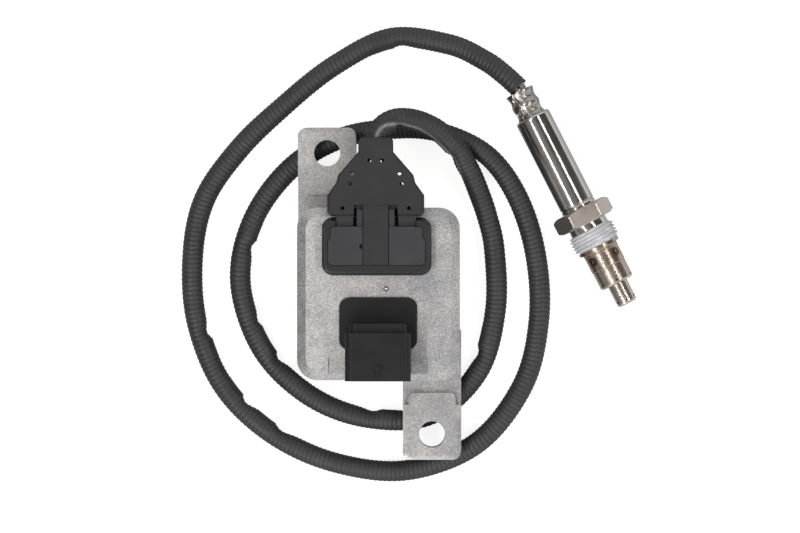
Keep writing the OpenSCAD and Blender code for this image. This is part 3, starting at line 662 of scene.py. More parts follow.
# Near black for the tubes' inner faces: painted shade, seen through the gas holes.
INNER_SHADE = Finish("inner_shade", (0.010, 0.009, 0.008), (0.018, 0.016, 0.015), (0.70, 0.85), specular=0.2)
TINTED = AlongProbeFinish(
    "tinted_steel", (0.66, 0.635, 0.61), (0.76, 0.735, 0.71), (0.23, 0.31), metallic=1.0,
    mottle_scale=200.0, bump_mm=0.02,
    stops=(
        (15.0, (0.78, 0.72, 0.66)), (18.6, (0.66, 0.57, 0.50)), (20.5, (0.72, 0.63, 0.55)),
        (24.5, (0.66, 0.57, 0.49)), (27.0, (0.70, 0.62, 0.55)), (33.5, (0.74, 0.66, 0.59)),
        (36.0, (0.80, 0.74, 0.68)), (44.5, (0.84, 0.78, 0.73)),
    ),
    rings=((18.7, 0.22), (20.0, 0.22)),
)
LEAD_COLOURS: dict[str, tuple[Colour, Colour]] = {
    "lead_yellow": ((0.46, 0.44, 0.15), (0.54, 0.52, 0.21)),
    "lead_blue": ((0.23, 0.29, 0.32), (0.28, 0.34, 0.37)),
    "lead_white": ((0.66, 0.64, 0.60), (0.74, 0.72, 0.69)),
    "lead_red": ((0.36, 0.05, 0.035), (0.44, 0.07, 0.05)),
    "lead_green": ((0.06, 0.19, 0.075), (0.09, 0.25, 0.10)),
    "lead_black": ((0.016, 0.016, 0.017), (0.024, 0.024, 0.025)),
    "lead_grey": ((0.20, 0.20, 0.21), (0.26, 0.26, 0.27)),
}


@dataclass(frozen=True)
class SkyWindow:
    """A soft-edged part of the world, seen where x and y, weighted, pass from low to high."""

    along_x: float
    along_y: float
    both_ends: bool
    low: float
    high: float
    colour: Colour


@dataclass
class Studio:
    """Camera, floor and soft light, as in the photograph."""

    look_at: tuple[float, float] = (-0.0277, 0.0021)
    height: float = 1.2
    field_width: float = 0.3339
    sensor_width: float = 36.0
    floor_size: float = 6.0
    floor_grey: Colour = (0.46, 0.46, 0.46)
    floor_lift: float = 0.85
    # The card that glossy rays see on the floor: x where it starts and is full, and strength.
    card: tuple[float, float, float] = (0.02, 0.22, 0.75)
    sky: Colour = (0.24, 0.227, 0.22)
    # The shaded right half, the dark left side, the bright right side and both bright ends.
    windows: tuple[SkyWindow, ...] = (
        SkyWindow(0.89, 0.46, False, 0.02, 0.22, (0.075, 0.072, 0.071)),
        SkyWindow(-1.0, -1.2, True, 0.40, 0.85, (0.055, 0.057, 0.063)),
        SkyWindow(0.9, -0.4, False, 0.60, 0.92, (0.90, 0.885, 0.87)),
        SkyWindow(0.0, 1.0, True, 0.50, 0.92, (1.02, 1.01, 1.0)),
    )
    # Name, place, width and length, power and colour of each lamp: two long soft boxes on
    # both sides of the camera, and a broad one towards the photograph's lower left.
    lamps: tuple[tuple[str, tuple, tuple, float, Colour], ...] = (
        ("left_strip", (-0.62, 0.0, 1.35), (1.5, 0.06), 5.6, (1.0, 0.965, 0.93)),
        ("right_strip", (0.72, 0.1, 1.30), (1.5, 0.06), 5.6, (1.0, 0.965, 0.93)),
        ("broad", (-0.45, -1.05, 1.25), (0.9, 0.7), 8.5, (0.97, 0.985, 1.0)),
    )

    def build(self) -> None:
        """Makes the camera, the world, the floor and the lamps."""
        scene = bpy.context.scene
        scene.view_settings.view_transform = "Standard"
        self.camera(scene)
        self.floor()
        self.world(scene)
        for lamp in self.lamps:
            self.lamp(*lamp)

    def camera(self, scene: bpy.types.Scene) -> None:
        """Straight down over the photograph's middle, with the field width at the floor.

        Args:
            scene: the scene that looks through the camera.
        """
        data = bpy.data.cameras.new("camera")
        camera = bpy.data.objects.new("camera", data)
        scene.collection.objects.link(camera)
        camera.location = (*self.look_at, self.height)
        camera.rotation_euler = (0.0, 0.0, 0.0)
        data.sensor_fit = "HORIZONTAL"
        data.sensor_width = self.sensor_width
        data.lens = self.sensor_width * self.height / self.field_width
        data.clip_start = 0.01
        data.clip_end = 20.0
        scene.camera = camera

    def floor(self) -> None:
        """A plain grey plane, lifted to white for the camera.

        Glossy rays see it as a white card on the right, which lights that side of the metal.
        """
        half = self.floor_size / 2.0
        corners = half * np.array([[-1, -1, 0], [1, -1, 0], [1, 1, 0], [-1, 1, 0]])
        piece = make_mesh("floor", corners, [[0, 1, 2, 3]])
        material = bpy.data.materials.new("floor")
        material.use_nodes = True
        nodes = Nodes(material.node_tree)
        path = nodes.add("LightPath")
        plain = nodes.add(
            "BsdfPrincipled",
            {"Base Color": rgba(self.floor_grey), "Roughness": 0.9, "Specular IOR Level": 0.1},
        )
        place = nodes.add("NewGeometry").outputs["Position"]
        east = nodes.add("SeparateXYZ", {0: place}).outputs[0]
        start, full, strength = self.card
        card = nodes.add("MapRange", {0: east, 1: start, 2: full, 3: 0.0, 4: strength})
        glossy = nodes.math("MULTIPLY", path.outputs["Is Glossy Ray"], card.outputs[0])
        seen = nodes.math(
            "MULTIPLY_ADD", path.outputs["Is Camera Ray"], self.floor_lift, glossy
        )
        lift = nodes.add("Emission", {1: seen})
        both = nodes.add("AddShader", {0: plain.outputs[0], 1: lift.outputs[0]})
        nodes.add("OutputMaterial", {0: both.outputs[0]})
        piece.data.materials.append(material)

    def world(self, scene: bpy.types.Scene) -> None:
        """Dark sides, with a bright horizon at the top, foot and right of the picture.

        Args:
            scene: the scene that gets the world.
        """
        world = bpy.data.worlds.new("studio")
        world.use_nodes = True
        scene.world = world
        nodes = Nodes(world.node_tree)
        way = nodes.add("TexCoord").outputs["Generated"]
        x, y, _ = nodes.add("SeparateXYZ", {0: way}).outputs
        level = nodes.math("ABSOLUTE", y)
        colour = rgba(self.sky)
        for window in self.windows:
            sideways = nodes.math("MULTIPLY", x, window.along_x)
            end = level if window.both_ends else y
            value = nodes.math("MULTIPLY_ADD", end, window.along_y, sideways)
            share = nodes.add(
                "MapRange", {0: value, 1: window.low, 2: window.high, 3: 0.0, 4: 1.0},
                interpolation_type="SMOOTHSTEP",
            ).outputs[0]
            colour = nodes.mix(share, colour, rgba(window.colour))
        back = nodes.add("Background", {0: colour, 1: 1.0})
        nodes.add("OutputWorld", {0: back.outputs[0]})

    def lamp(
        self, name: str, place: tuple, size: tuple, power: float, colour: Colour
    ) -> None:
        """A rectangular area lamp aimed at the middle of the object.

        Args:
            name: name of the lamp.
            place: where it hangs.
            size: width and length.
            power: power in watts.
            colour: colour of its light.
        """
        data = bpy.data.lights.new(name, "AREA")
        data.shape = "RECTANGLE"
        data.size, data.size_y = size
        data.energy = power
        data.color = colour
        lamp = bpy.data.objects.new(name, data)
        bpy.context.scene.collection.objects.link(lamp)
        lamp.location = place
        aim = np.array([*self.look_at, 0.0]) - np.array(place)
        lamp.rotation_euler = direction_to_euler(aim)


def direction_to_euler(aim: np.ndarray) -> tuple[float, float, float]:
    """Turns that lay an object's -z axis along the direction."""
    x, y, z = aim / np.linalg.norm(aim)
    return (math.acos(-z), 0.0, math.atan2(y, x) - math.pi / 2.0)


def catmull_rom(points: np.ndarray, steps: int) -> np.ndarray:
    """A smooth curve through every point, with equal steps of its parameter between two.

    Between b and c, with neighbours a and d: half of 2b + (c - a) t +
    (2a - 5b + 4c - d) t^2 + (3b - a - 3c + d) t^3.

    Args:
        points: rows of x, y, z.
        steps: steps between two points.

    Returns:
        The curve's points.
    """
    n = len(points)
    i = np.repeat(np.arange(n - 1), steps)
    t = np.tile(np.arange(steps) / steps, n - 1)[:, None]
    a, b = points[np.maximum(i - 1, 0)], points[i]
    c, d = points[i + 1], points[np.minimum(i + 2, n - 1)]
    square, cube = 2 * a - 5 * b + 4 * c - d, 3 * b - a - 3 * c + d
    curve = 0.5 * (2 * b + (c - a) * t + square * t**2 + cube * t**3)
    return np.vstack([curve, points[-1]])


def arc_lengths(path: np.ndarray) -> np.ndarray:
    """Distance along the path of each of its points."""
    return np.concatenate([[0.0], np.cumsum(np.linalg.norm(np.diff(path, axis=0), axis=1))])


def even_path(path: np.ndarray, stations: np.ndarray) -> np.ndarray:
    """Points of the path at the given distances along it."""
    length = arc_lengths(path)
    return np.stack([np.interp(stations, length, path[:, k]) for k in range(3)], axis=1)


def ring_axes(path: np.ndarray) -> tuple[np.ndarray, np.ndarray]:
    """Side and up of a path: side is level, on the right of the heading, up square to both.

    Args:
        path: rows of x, y, z.

    Returns:
        Side and up at each point.
    """
    heading = np.gradient(path, axis=0)
    heading /= np.linalg.norm(heading, axis=1, keepdims=True)
    side = np.cross(heading, [0.0, 0.0, 1.0])
    side /= np.linalg.norm(side, axis=1, keepdims=True)
    return side, np.cross(side, heading)


def sweep(
    name: str,
    path: np.ndarray,
    radii: np.ndarray,
    axes: tuple[np.ndarray, np.ndarray] | None = None,
    smooth_angle: float | None = None,
) -> bpy.types.Object:
    """A tube along a path, closed by one face at each end.

    The point at angle a of ring i lies at path[i] + radii[i, k] (cos a side + sin a up).
    Side, up and heading are left-handed, so each quad is listed backwards to face out.

    Args:
        name: name of the piece.
        path: centres of the rings, in metres.
        radii: radius of each ring at each angle, in metres.
        axes: side and up of each ring; worked out from the path when left out.
        smooth_angle: as for make_mesh.

    Returns:
        The new object.
    """
    rows, columns = radii.shape
    side, up = axes or ring_axes(path)
    angle = np.linspace(0.0, 2.0 * math.pi, columns, endpoint=False)[None, :, None]
    ring = np.cos(angle) * side[:, None, :] + np.sin(angle) * up[:, None, :]
    points = path[:, None, :] + radii[:, :, None] * ring
    faces = grid_faces(rows, columns)[:, ::-1].tolist()
    first = list(range(columns))
    last = [(rows - 1) * columns + k for k in range(columns)][::-1]
    return make_mesh(name, points.reshape(-1, 3), [first, *faces, last], smooth_angle)


@dataclass
class Cable:
    """The corrugated split sleeve with its six leads, from the cover to the probe."""

    diameter: float = 9.0 * MM
    pitch: float = 1.9 * MM
    groove: float = 0.2 * MM
    overhang: float = 0.7 * MM
    slit_depth: float = 0.5 * MM
    lip_height: float = 0.22 * MM
    wall: float = 0.8 * MM
    rings_a_rib: int = 6
    columns: int = 32
    lead_radius: float = 0.8 * MM
    lead_ring: float = 2.7 * MM
    lead_back: float = 9.0 * MM
    # How far the leads draw together at the sleeve's end, and how far they bow in the gap.
    lead_draw: float = 0.82
    lead_bow: float = 0.35 * MM
    # Stations of the leads between the gap and the grommet, in millimetres.
    lead_stations: tuple[float, ...] = (-53.1, -48.0, -42.0)
    # The six leads in their order round the ring.
    lead_names: tuple[str, ...] = (
        "lead_red", "lead_white", "lead_blue", "lead_yellow", "lead_black", "lead_green",
    )
    # Mean radius of the sleeve as a share of the outermost one, and how much it swells.
    mean_share: float = 0.975
    swell: float = 0.018
    # Centreline in millimetres, from inside the cover's mouth to the probe, as in the solids.
    route: tuple[tuple[float, float, float], ...] = (
        (-37.5, 50, 33.3), (-37.3, 54.8, 33.3), (-34.6, 59.3, 31.7), (-29.6, 62, 28.8),
        (-23.3, 62.2, 24.8), (-17, 60.5, 20.7), (-11, 57.2, 17.4), (-4.9, 51.2, 14.3),
        (0.4, 43.1, 10), (4.6, 34.2, 6.3), (8.4, 23.5, 4.6), (11.5, 9, 4.5),
        (12, -16, 4.5), (4.5, -42, 4.5), (-15, -59.5, 4.5), (-40.5, -61, 4.5),
        (-65.5, -51.5, 4.5), (-85, -32, 4.5), (-94, -5, 4.5), (-89, 21, 4.5),
        (-72.5, 43.5, 4.5), (-50.5, 56, 4.5), (-24.5, 59.5, 4.5), (-5.5, 56, 4.5),
        (10.5, 46.5, 4.5), (22.5, 28, 4.5), (29, 5, 4.5), (30, -21, 4.5), (23, -48, 4.5),
        (4, -71.5, 4.5), (-24.5, -82.5, 4.5), (-54.5, -79.5, 4.5), (-81.5, -67, 4.5),
        (-101.5, -47, 4.5), (-112, -21.5, 4.5), (-114, 5, 4.5), (-109, 30, 4.5),
        (-94.5, 51, 4.5), (-76.5, 68.5, 4.5), (-54.5, 86, 4.5), (-31.5, 97, 4.5),
        (-7.5, 94.5, 5), (7.5, 87.5, 7.4), (15.5, 81.5, 10), (21, 76.4, 11),
    )
    # Kinks on the inner side of the bends: x and y in millimetres, depth and reach in metres.
    kinks: tuple[tuple[float, float, float, float], ...] = (
        (-81.5, -35.0, -1.4 * MM, 3.2 * MM), (-36.0, -56.0, 0.9 * MM, 3.4 * MM),
        (4.0, -30.5, 1.1 * MM, 3.4 * MM), (-6.5, 50.5, 1.0 * MM, 3.0 * MM),
        (-30.0, 93.0, 0.8 * MM, 4.0 * MM), (-31.5, 60.5, 1.2 * MM, 2.6 * MM),
        (-76.0, -58.5, -1.1 * MM, 4.0 * MM), (-90.3, -48.8, -1.4 * MM, 3.4 * MM),
        (-105.9, -27.3, 1.2 * MM, 3.0 * MM), (-87.5, 12.5, -1.2 * MM, 3.0 * MM),
        (-85.9, -22.5, 0.9 * MM, 2.6 * MM),
    )
    # Where the slit runs: distance from the cover in millimetres and angle in degrees.
    slit_way: tuple[tuple[float, float], ...] = (
        (0, 75), (8, 68), (16, 40), (30, 22), (58, 16), (76, -30), (95, -80), (930, -95),
    )

    def __post_init__(self) -> None:
        """Works out the centreline once."""
        self.line = catmull_rom(np.array(self.route, dtype=float) * MM, 24)
        self.length = float(arc_lengths(self.line)[-1])

    def build(self) -> None:
        sleeve = self.sleeve()
        leads = [self.lead(i, name) for i, name in enumerate(self.lead_names)]

    def rib(self, station: np.ndarray) -> np.ndarray:
        """Rib profile from 0 in a groove to 1 on a crest: a raised cosine, flattened on top."""
        wave = 0.5 + 0.5 * np.cos(2.0 * math.pi * station / self.pitch)
        return 1.0 - (1.0 - wave) ** 1.7

    def sleeve(self) -> bpy.types.Object:
        """The sleeve: its radius is a function of the distance along it and of the angle.

        The radius is the outer one less the groove where the rib profile is low, less the
        slit and plus its lip, and it swells and flattens a little along the way. A kink
        bulges and then dips on the inner side of a bend, as minus its depth times
        (d / w) exp(1/2 - d^2 / 2 w^2) for a point d past it and a reach w, and the other way
        round where its depth is negative. At the probe end the wall turns in and runs back.

        Returns:
            The sleeve.
        """
        step = self.pitch / self.rings_a_rib
        heading = self.line[-1] - self.line[-2]
        tail = self.line[-1] + self.overhang * heading / np.linalg.norm(heading)
        line = np.vstack([self.line, tail])
        station = np.arange(0.0, self.length + self.overhang, step)
        path = even_path(line, station)
        angle = np.linspace(0.0, 2.0 * math.pi, self.columns, endpoint=False)
        s, a = station[:, None], angle[None, :]
        drift = 0.25 * np.sin(s / 0.029) + 0.35 * np.sin(s / 0.011 + 2.0 * np.sin(s / 0.043))
        crest = self.rib(s + 0.10 * self.pitch * (drift + np.sin(a + s / 0.021)))
        way = np.array(self.slit_way, dtype=float)
        slit_at = np.radians(np.interp(s / MM, way[:, 0], way[:, 1]))
        slit_at = slit_at + 0.06 * np.sin(s / 0.0037)
        off = np.angle(np.exp(1j * (a - slit_at)))
        slit = np.exp(-((off / 0.20) ** 2))
        lip = smoothstep(0.0, 0.2, off) * (1.0 - smoothstep(0.2, 0.8, off))
        # Painted highlight along the slit's cut lip, only in the first 70 to 85 mm from the
        # cover.
        seen = 1.0 - smoothstep(0.070, 0.085, s)
        cut = np.exp(-(((off - 0.22) / 0.13) ** 2)) * seen
        swell = np.sin(s / 0.017) + 0.5 * np.sin(s / 0.0061 + 2.0 * np.cos(a))
        flat = 0.020 * np.cos(2.0 * a) * np.sin(s / 0.037)
        radius = self.diameter / 2.0 * (self.mean_share + self.swell * swell + flat)
        radius = radius - self.groove * (1.0 - crest) - self.slit_depth * slit
        radius = radius + self.lip_height * lip
        inner_side = 0.5 + 0.5 * np.cos(a)
        for x, y, depth, reach in self.kinks:
            far = np.linalg.norm(path[:, :2] - np.array([x, y]) * MM, axis=1)
            past = (s - station[np.argmin(far)]) / reach
            radius = radius - depth * past * np.exp(0.5 - 0.5 * past**2) * inner_side**2
        inner = radius[-1:] - self.wall
        back = station[-1] - np.array([0.0, 3.0 * MM, self.lead_back])
        radius = np.vstack([radius, np.repeat(inner, 3, axis=0)])
        side, up = ring_axes(path)
        axes = tuple(np.vstack([axis, np.repeat(axis[-1:], 3, axis=0)]) for axis in (side, up))
        path = np.vstack([path, even_path(line, back)])
        piece = sweep("sleeve", path, np.minimum(radius, self.diameter / 2.0), axes, 60.0)
        # The crest and cut masks tell the sleeve's finish where to paint its highlights.
        for name, values in (("crest", crest), ("cut", cut)):
            whole = np.broadcast_to(values, (len(s), self.columns))
            padded = np.vstack([whole, np.zeros((3, self.columns))])
            layer = piece.data.attributes.new(name, "FLOAT", "POINT")
            layer.data.foreach_set("value", padded.astype(np.float32).ravel())
        return add_piece(
            piece, Body.SENSOR, SLEEVE.build(), ("cable_sleeve",)
        )

    def lead(self, index: int, name: str) -> bpy.types.Object:
        """One lead, from inside the sleeve's cut end into the grommet of the probe.

        Args:
            index: its place round the ring.
            name: name of its solid, which it stands for.

        Returns:
            The lead.
        """
        turn = math.radians(60.0 * index + 30.0)
        end = self.line[-1]
        along = end - self.line[-3]
        along /= np.linalg.norm(along)
        side = np.cross(along, [0.0, 0.0, 1.0])
        side /= np.linalg.norm(side)
        out = -(math.cos(turn) * np.cross(side, along) + math.sin(turn) * side)
        start = end + self.lead_ring * self.lead_draw * out
        across = self.lead_ring / MM * np.array([math.cos(turn), math.sin(turn)])
        goal = on_probe(np.array([[*across, s] for s in self.lead_stations]))
        bow = 0.5 * (start + goal[0])
        bow[2] += self.lead_bow * math.cos(2 * turn)
        knots = np.array([start - self.lead_back * along, start, bow, *goal])
        path = catmull_rom(knots, 8)
        radii = np.full((len(path), 14), self.lead_radius)
        colours = LEAD_COLOURS[name]
        finish = Finish(name, colours[0], colours[1], (0.36, 0.50), bump_mm=0.01)
        wire = sweep(name + "_wire", path, radii)
        return add_piece(wire, Body.SENSOR, finish.build(), (name,))


def merged_copy(node: str, name: str) -> bpy.types.Object:
    """A copy of a solid's mesh with its doubles merged and its flat faces joined.

    Args:
        node: the solid.
        name: name of the copy.

    Returns:
        The copy, linked and at the origin.
    """
    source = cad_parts[node]
    form = bmesh.new()
    form.from_mesh(source.data)
    bmesh.ops.remove_doubles(form, verts=form.verts, dist=0.002 * MM)
    bmesh.ops.dissolve_limit(
        form, angle_limit=math.radians(0.6), verts=form.verts, edges=form.edges
    )
    mesh = bpy.data.meshes.new(name)
    form.to_mesh(mesh)
    form.free()
    piece = bpy.data.objects.new(name, mesh)
    bpy.context.scene.collection.objects.link(piece)
    return piece


@dataclass(frozen=True)
class Rounding:
    """How the edges of a solid are rounded for its piece in the scene."""

    node: str
    name: str
    slot: str
    finish: Finish
    width: float
    edge: Finish | None = None
    segments: int = 3
    angle: float = 32.0

    def build(self) -> bpy.types.Object:
        """Makes the copy, rounds its edges and dresses it; the edges may differ in finish.

        Returns:
            The copy.
        """
        piece = merged_copy(self.node, self.name)
        piece.data.materials.append(self.finish.build())
        bevel = piece.modifiers.new("rounding", "BEVEL")
        bevel.width = self.width * MM
        bevel.segments = self.segments
        bevel.limit_method = "ANGLE"
        bevel.angle_limit = math.radians(self.angle)
        bevel.use_clamp_overlap = True
        # On the lid, the base and the cover the edge finish is lighter: a painted highlight
        # along the rounded edges.
        if self.edge is not None:
            piece.data.materials.append(self.edge.build())
            bevel.material = 1
        weights = piece.modifiers.new("flat_faces", "WEIGHTED_NORMAL")
        weights.mode = "FACE_AREA"
        weights.weight = 100
        weights.keep_sharp = True
        shade(piece, None)
        return add_piece(piece, Body.SENSOR, piece.data.materials[0], (self.node,))


@dataclass
class Module:
    """The control module: its castings, connectors and cable cover."""

    roundings: tuple[Rounding, ...] = (
        # The lid, base and cover get a lighter edge finish: a painted highlight on their
        # rounded edges.
        Rounding("case_lid", "lid", "cast_alloy", CASTING, 0.6, CASTING_EDGE_HIGHLIGHT),
        Rounding("case_base", "base", "cast_alloy", CASTING_BASE, 0.7, CASTING_EDGE_HIGHLIGHT),
        Rounding("vehicle_header", "socket", "socket_plastic", SOCKET, 0.3, segments=2),
        Rounding("sensor_header", "plug_frame", "header_plastic", FRAME, 0.55),
        Rounding("plug_housing", "plug", "plug_plastic", PLUG, 0.22, PLUG_EDGE, segments=2),
        Rounding("cover_top", "cover", "cover_plastic", COVER, 0.6, COVER_EDGE_HIGHLIGHT, 4, 25.0),
        Rounding("cover_bottom", "cover_base", "cover_plastic", COVER, 0.5),
    )

    def build(self) -> None:
        """Dresses every visible piece of the module."""
        for rounding in self.roundings:
            rounding.build()


@dataclass
class Probe:
    """The probe: crimped collar, polished sleeve, swivel nut and protection tubes.

    Stations run in millimetres from the cable side of the hexagon towards the tip, and all
    sizes are in millimetres, but for the seam's place in degrees.
    """

    mouth: float = -54.3
    crimp_r: float = 5.5
    crimp_swing: float = 0.33
    crimp_wave: float = 5.8
    crimp_crest: float = 6.2
    collar_r: float = 6.02
    # Belts of dents: distance from the collar's mouth, half width and number of dents.
    belts: tuple[tuple[float, float, int], ...] = ((3.3, 1.25, 10), (9.0, 1.05, 18))
    dent_depth: float = 0.34
    sheet: float = 0.55
    seam_at: float = 214.0
    seam_step: float = 0.28
    sleeve_top: float = -42.8
    sleeve_end: float = -0.2
    sleeve_r: float = 7.45
    sleeve_hole: float = 6.07
    sleeve_bend: float = 1.25
    sleeve_groove: float = 0.28
    barrel_columns: int = 128
    hex_af: float = 22.0
    hex_h: float = 7.0
    neck_r: float = 8.25
    thread_from: float = 9.5
    thread_to: float = 17.1
    thread_r: float = 10.0
    thread_pitch: float = 1.5
    thread_depth: float = 0.92
    bore_r: float = 6.7
    # Tubes whose inner faces get painted shade, with their outer radii in millimetres.
    shaded_insides: tuple[tuple[str, float], ...] = (("middle_tube", 7.25), ("tip_tube", 4.25))
    columns: int = 192

    def build(self) -> None:
        """Makes and dresses every visible piece of the probe."""
        self.collar()
        self.sleeve()
        self.nut()
        for node in ("probe_body", "outer_tube", "middle_tube", "tip_tube"):
            dress(node, TINTED)
        for node, radius in self.shaded_insides:
            self.paint_inner_shade(node, radius)

    @staticmethod
    def paint_inner_shade(node: str, radius: float) -> None:
        """Paints all but the outside of a dressed tube near black, as painted shade seen
        through its gas holes.

        A face belongs to the outside when it faces the tip, or when it faces away from the
        axis near the tube's radius.

        Args:
            node: the tube's solid.
            radius: the tube's outer radius in millimetres.
        """
        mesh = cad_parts[node].data
        across = np.array([-math.sin(PROBE_TURN), math.cos(PROBE_TURN), 0.0])
        heading = np.array([math.cos(PROBE_TURN), math.sin(PROBE_TURN), 0.0])
        sides = np.stack([across, [0.0, 0.0, 1.0]], axis=1)
        centres, normals = np.empty((2, len(mesh.polygons), 3), dtype=np.float32)
        mesh.polygons.foreach_get("center", centres.ravel())
        mesh.polygons.foreach_get("normal", normals.ravel())
        from_axis = (centres - np.array(PROBE_AT)) @ sides
        far = np.linalg.norm(from_axis, axis=1)
        outward = np.sum((normals @ sides) * from_axis, axis=1) / np.maximum(far, 0.1 * MM)
        outside = (normals @ heading > 0.5) | (
            (outward > 0.2) & (np.abs(far - radius * MM) < 0.8 * MM)
        )
        mesh.materials.append(INNER_SHADE.build())
        mesh.polygons.foreach_set("material_index", np.where(outside, 0, 1).astype(np.int32))

    def surface(
        self, name: str, stations: np.ndarray, radii: np.ndarray, smooth_angle: float
    ) -> bpy.types.Object:
        """A closed surface round the probe's axis whose last ring joins its first.

        Args:
            name: name of the piece.
            stations: station of each ring in millimetres.
            radii: radius of each ring at each angle in millimetres.
            smooth_angle: as for make_mesh.

        Returns:
            The new object.
        """
        rows, columns = radii.shape
        angle = np.linspace(0.0, 2.0 * math.pi, columns, endpoint=False)[None, :]
        z = np.repeat(stations[:, None], columns, axis=1)
        points = np.stack([radii * np.cos(angle), radii * np.sin(angle), z], axis=-1)
        wrap = grid_faces(2, columns)
        last = (rows - 1) * columns
        wrap = np.where(wrap >= columns, wrap - columns, wrap + last)
        faces = np.vstack([grid_faces(rows, columns), wrap])
        return make_mesh(name, on_probe(points.reshape(-1, 3)), faces, smooth_angle)

    def collar(self) -> bpy.types.Object:
        """The crimped collar: a waved sheet with two belts of pressed square dents.

        The radius swings with the crimp wave along the collar. Each waist holds a belt of
        dents, product of a window along the collar and a window round it, and the
        sheet's overlap steps out by its thickness along a wavy seam.

        Returns:
            The collar.
        """
        top, end = self.mouth, self.sleeve_top + 2.0
        s = np.linspace(top, end, 110)[:, None]
        a = np.linspace(0.0, 2.0 * math.pi, self.columns, endpoint=False)[None, :]
        phase = 2.0 * math.pi * (s - top - self.crimp_crest) / self.crimp_wave
        wave = self.crimp_r + self.crimp_swing * np.cos(phase)
        pressed = np.zeros((len(s), self.columns))
        for middle, half, dents in self.belts:
            along = 1.0 - smoothstep(half - 0.3, half + 0.2, np.abs(s - top - middle))
            tooth = np.abs(np.mod(0.5 * dents * a / math.pi + 0.3, 1.0) - 0.5) * 2.0
            pressed = pressed + along * (1.0 - smoothstep(0.42, 0.72, tooth))
        uneven = 0.03 * np.sin(3.0 * a + 0.8 * s) + 0.02 * np.sin(5.0 * a - 1.3 * s)
        seam_at = math.radians(self.seam_at) + 0.16 * np.sin((s - top) / 1.4)
        off = np.angle(np.exp(1j * (a - seam_at)))
        seam = smoothstep(-0.03, 0.03, off) * (1.0 - smoothstep(0.9, 2.0, off))
        outer = wave - self.dent_depth * pressed + uneven + self.seam_step * seam
        outer = np.minimum(outer, self.collar_r)
        radii = np.vstack([outer, outer[::-1] - self.sheet])
        stations = np.concatenate([s[:, 0], s[::-1, 0]])
        piece = self.surface("collar", stations, radii, 35.0)
        return add_piece(piece, Body.SENSOR, CRIMPED.build(), ("crimp_collar",))

    def sleeve(self) -> bpy.types.Object:
        """The polished sleeve: round shoulder, plain barrel and a rolled groove by the nut.

        Its outline of radius and station is a quarter circle, a sine squared in the groove
        and straight lines between them, carried round the axis.

        Returns:
            The sleeve.
        """
        r, top, end = self.sleeve_r, self.sleeve_top, self.sleeve_end
        hole, bend = self.sleeve_hole, self.sleeve_bend
        turn = np.linspace(-math.pi / 2.0, 0.0, 12)
        corner = np.stack([np.cos(turn), np.sin(turn)], axis=1)
        shoulder = np.array([r - bend, top + bend]) + bend * corner
        swing = np.linspace(0.0, math.pi, 15)
        groove_s = np.linspace(end - 2.1, end - 0.7, 15)
        groove = np.stack([r - self.sleeve_groove * np.sin(swing) ** 2, groove_s], axis=1)
        ends = np.array([[hole, top + 2.6], [hole, top + 0.15], [hole + 0.12, top]])
        inside = np.array(
            [[r, end - 0.12], [r - 0.12, end], [r - 0.8, end], [r - 0.8, top + 2.6]]
        )
        profile = np.vstack([ends, shoulder, groove, inside])
        radii = np.repeat(profile[:, :1], self.barrel_columns, axis=1)
        piece = self.surface("steel_sleeve", profile[:, 1], radii, 30.0)
        return add_piece(
            piece, Body.SENSOR, POLISHED.build(), ("probe_sleeve",)
        )

    def hexagon_radius(self, angle: np.ndarray) -> np.ndarray:
        """Distance from the axis to the hexagon's side at an angle, with a flat on top.

        Args:
            angle: angles round the axis.

        Returns:
            The distances in millimetres; the corners are cut a little.
        """
        part = np.mod(angle + math.pi / 6.0, math.pi / 3.0) - math.pi / 6.0
        sharp = self.hex_af / 2.0 / np.cos(part)
        corner = self.hex_af / 2.0 / math.cos(math.pi / 6.0)
        return np.minimum(sharp, corner - 0.12)

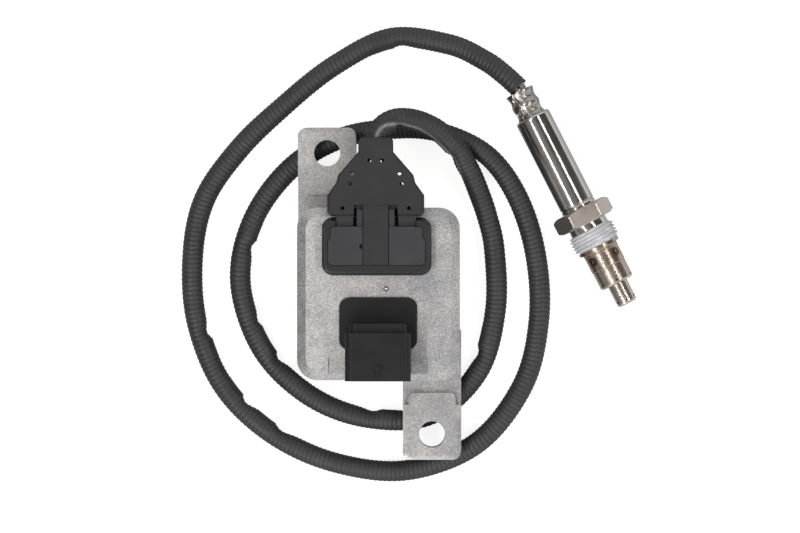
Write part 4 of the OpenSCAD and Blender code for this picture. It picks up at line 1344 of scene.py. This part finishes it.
    def nut(self) -> bpy.types.Object:
        """The swivel nut: its radius is a function of the station and of the angle.

        On the hexagon the radius is the lesser of the hexagon's side and two chamfer
        cones. On the thread it is the crest less the depth times a triangle wave of the
        station minus the pitch's share of the turn, so the ridges climb as a helix.

        Returns:
            The nut.
        """
        a = np.linspace(0.0, 2.0 * math.pi, self.columns, endpoint=False)[None, :]
        af, top = self.hex_af / 2.0, self.hex_h
        s_hex = np.array([
            0.0, 0.08, 0.25, 0.5, 0.8, 1.15, 1.5, 2.2, 3.5, 4.8, 5.6, 6.0, 6.35, 6.65, 6.9, 7.0
        ])
        cone_low = af - 0.35 + s_hex[:, None] * 1.75
        cone_high = af - 0.15 + (top - s_hex[:, None]) * 1.75
        hexagon = np.minimum(self.hexagon_radius(a), np.minimum(cone_low, cone_high))
        s_neck = np.array([7.0, 7.12, 7.5, 9.0, 9.42, self.thread_from])
        r_neck = self.neck_r + np.array([0.2, 0.0, -0.03, -0.03, 0.0, 0.15])
        neck = np.repeat(r_neck[:, None], self.columns, axis=1)
        s_thread = np.linspace(self.thread_from, self.thread_to, 78)
        climb = s_thread[:, None] / self.thread_pitch - a / (2.0 * math.pi)
        wave = np.abs(2.0 * (climb - np.floor(climb)) - 1.0)
        ridge = smoothstep(0.10, 0.92, wave)
        inset = np.minimum(s_thread - self.thread_from, self.thread_to - s_thread)[:, None]
        lead_in = 1.15 * (1.0 - smoothstep(0.0, 1.1, inset))
        thread = self.thread_r - self.thread_depth * (1.0 - ridge) - lead_in
        bore = np.full((2, self.columns), self.bore_r)
        stations = np.concatenate([s_hex, s_neck, s_thread, [self.thread_to, 0.0]])
        radii = np.vstack([hexagon, neck, thread, bore])
        piece = self.surface("swivel_nut", stations, radii, 28.0)
        for finish in (NUT, PASTE, POLISHED):
            piece.data.materials.append(finish.build())
        neck_at, thread_at = len(s_hex), len(s_hex) + len(s_neck)
        dressed = np.zeros((len(stations), self.columns), dtype=np.int32)
        dressed[neck_at : thread_at - 1] = 2
        dressed[thread_at : thread_at + len(s_thread) - 1] = 1
        piece.data.polygons.foreach_set("material_index", dressed.ravel())
        return add_piece(
            piece, Body.NUT, piece.data.materials[0], ("mounting_nut",)
        )


def dress(node: str, finish: Finish) -> None:
    """Gives a solid whose shape is right a better material.

    Args:
        node: the solid.
        finish: what it is made of.
    """
    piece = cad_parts[node]
    material = finish.build()
    piece.data.materials.clear()
    piece.data.materials.append(material)
    LOG.info("%s is dressed as %s", node, finish.name)


# Solids that are only dressed, by finish.
DRESSED: tuple[tuple[Finish, tuple[str, ...]], ...] = (
    (RUBBER, ("case_seal", "vehicle_header_seal", "sensor_header_seal")),
    (BALL, ("leak_test_ball",)),
    (LAMINATE, ("circuit_board",)),
    (CHIP, ("processor", "heater_driver")),
    (CAPACITOR, ("capacitors",)),
    (CONTACT, ("vehicle_pins", "sensor_pins", "plug_terminals", "contact_springs")),
    (GROMMET, ("grommet",)),
    (CERAMIC, ("contact_holder", "sensing_element", "ceramic_rear", "ceramic_front")),
    (TALC, ("talc_packing",)),
)


def main() -> None:
    """Builds the scene in order: camera and cable first, then the module and the probe."""
    logging.basicConfig(level=logging.INFO, format="%(name)s: %(message)s")
    Studio().build()
    Cable().build()
    Module().build()
    Probe().build()
    for finish, names in DRESSED:
        for node in names:
            dress(node, finish)
    dress("plug_leads", Finish("lead_grey", *LEAD_COLOURS["lead_grey"], (0.40, 0.52)))


if __name__ == "__main__":
    main()
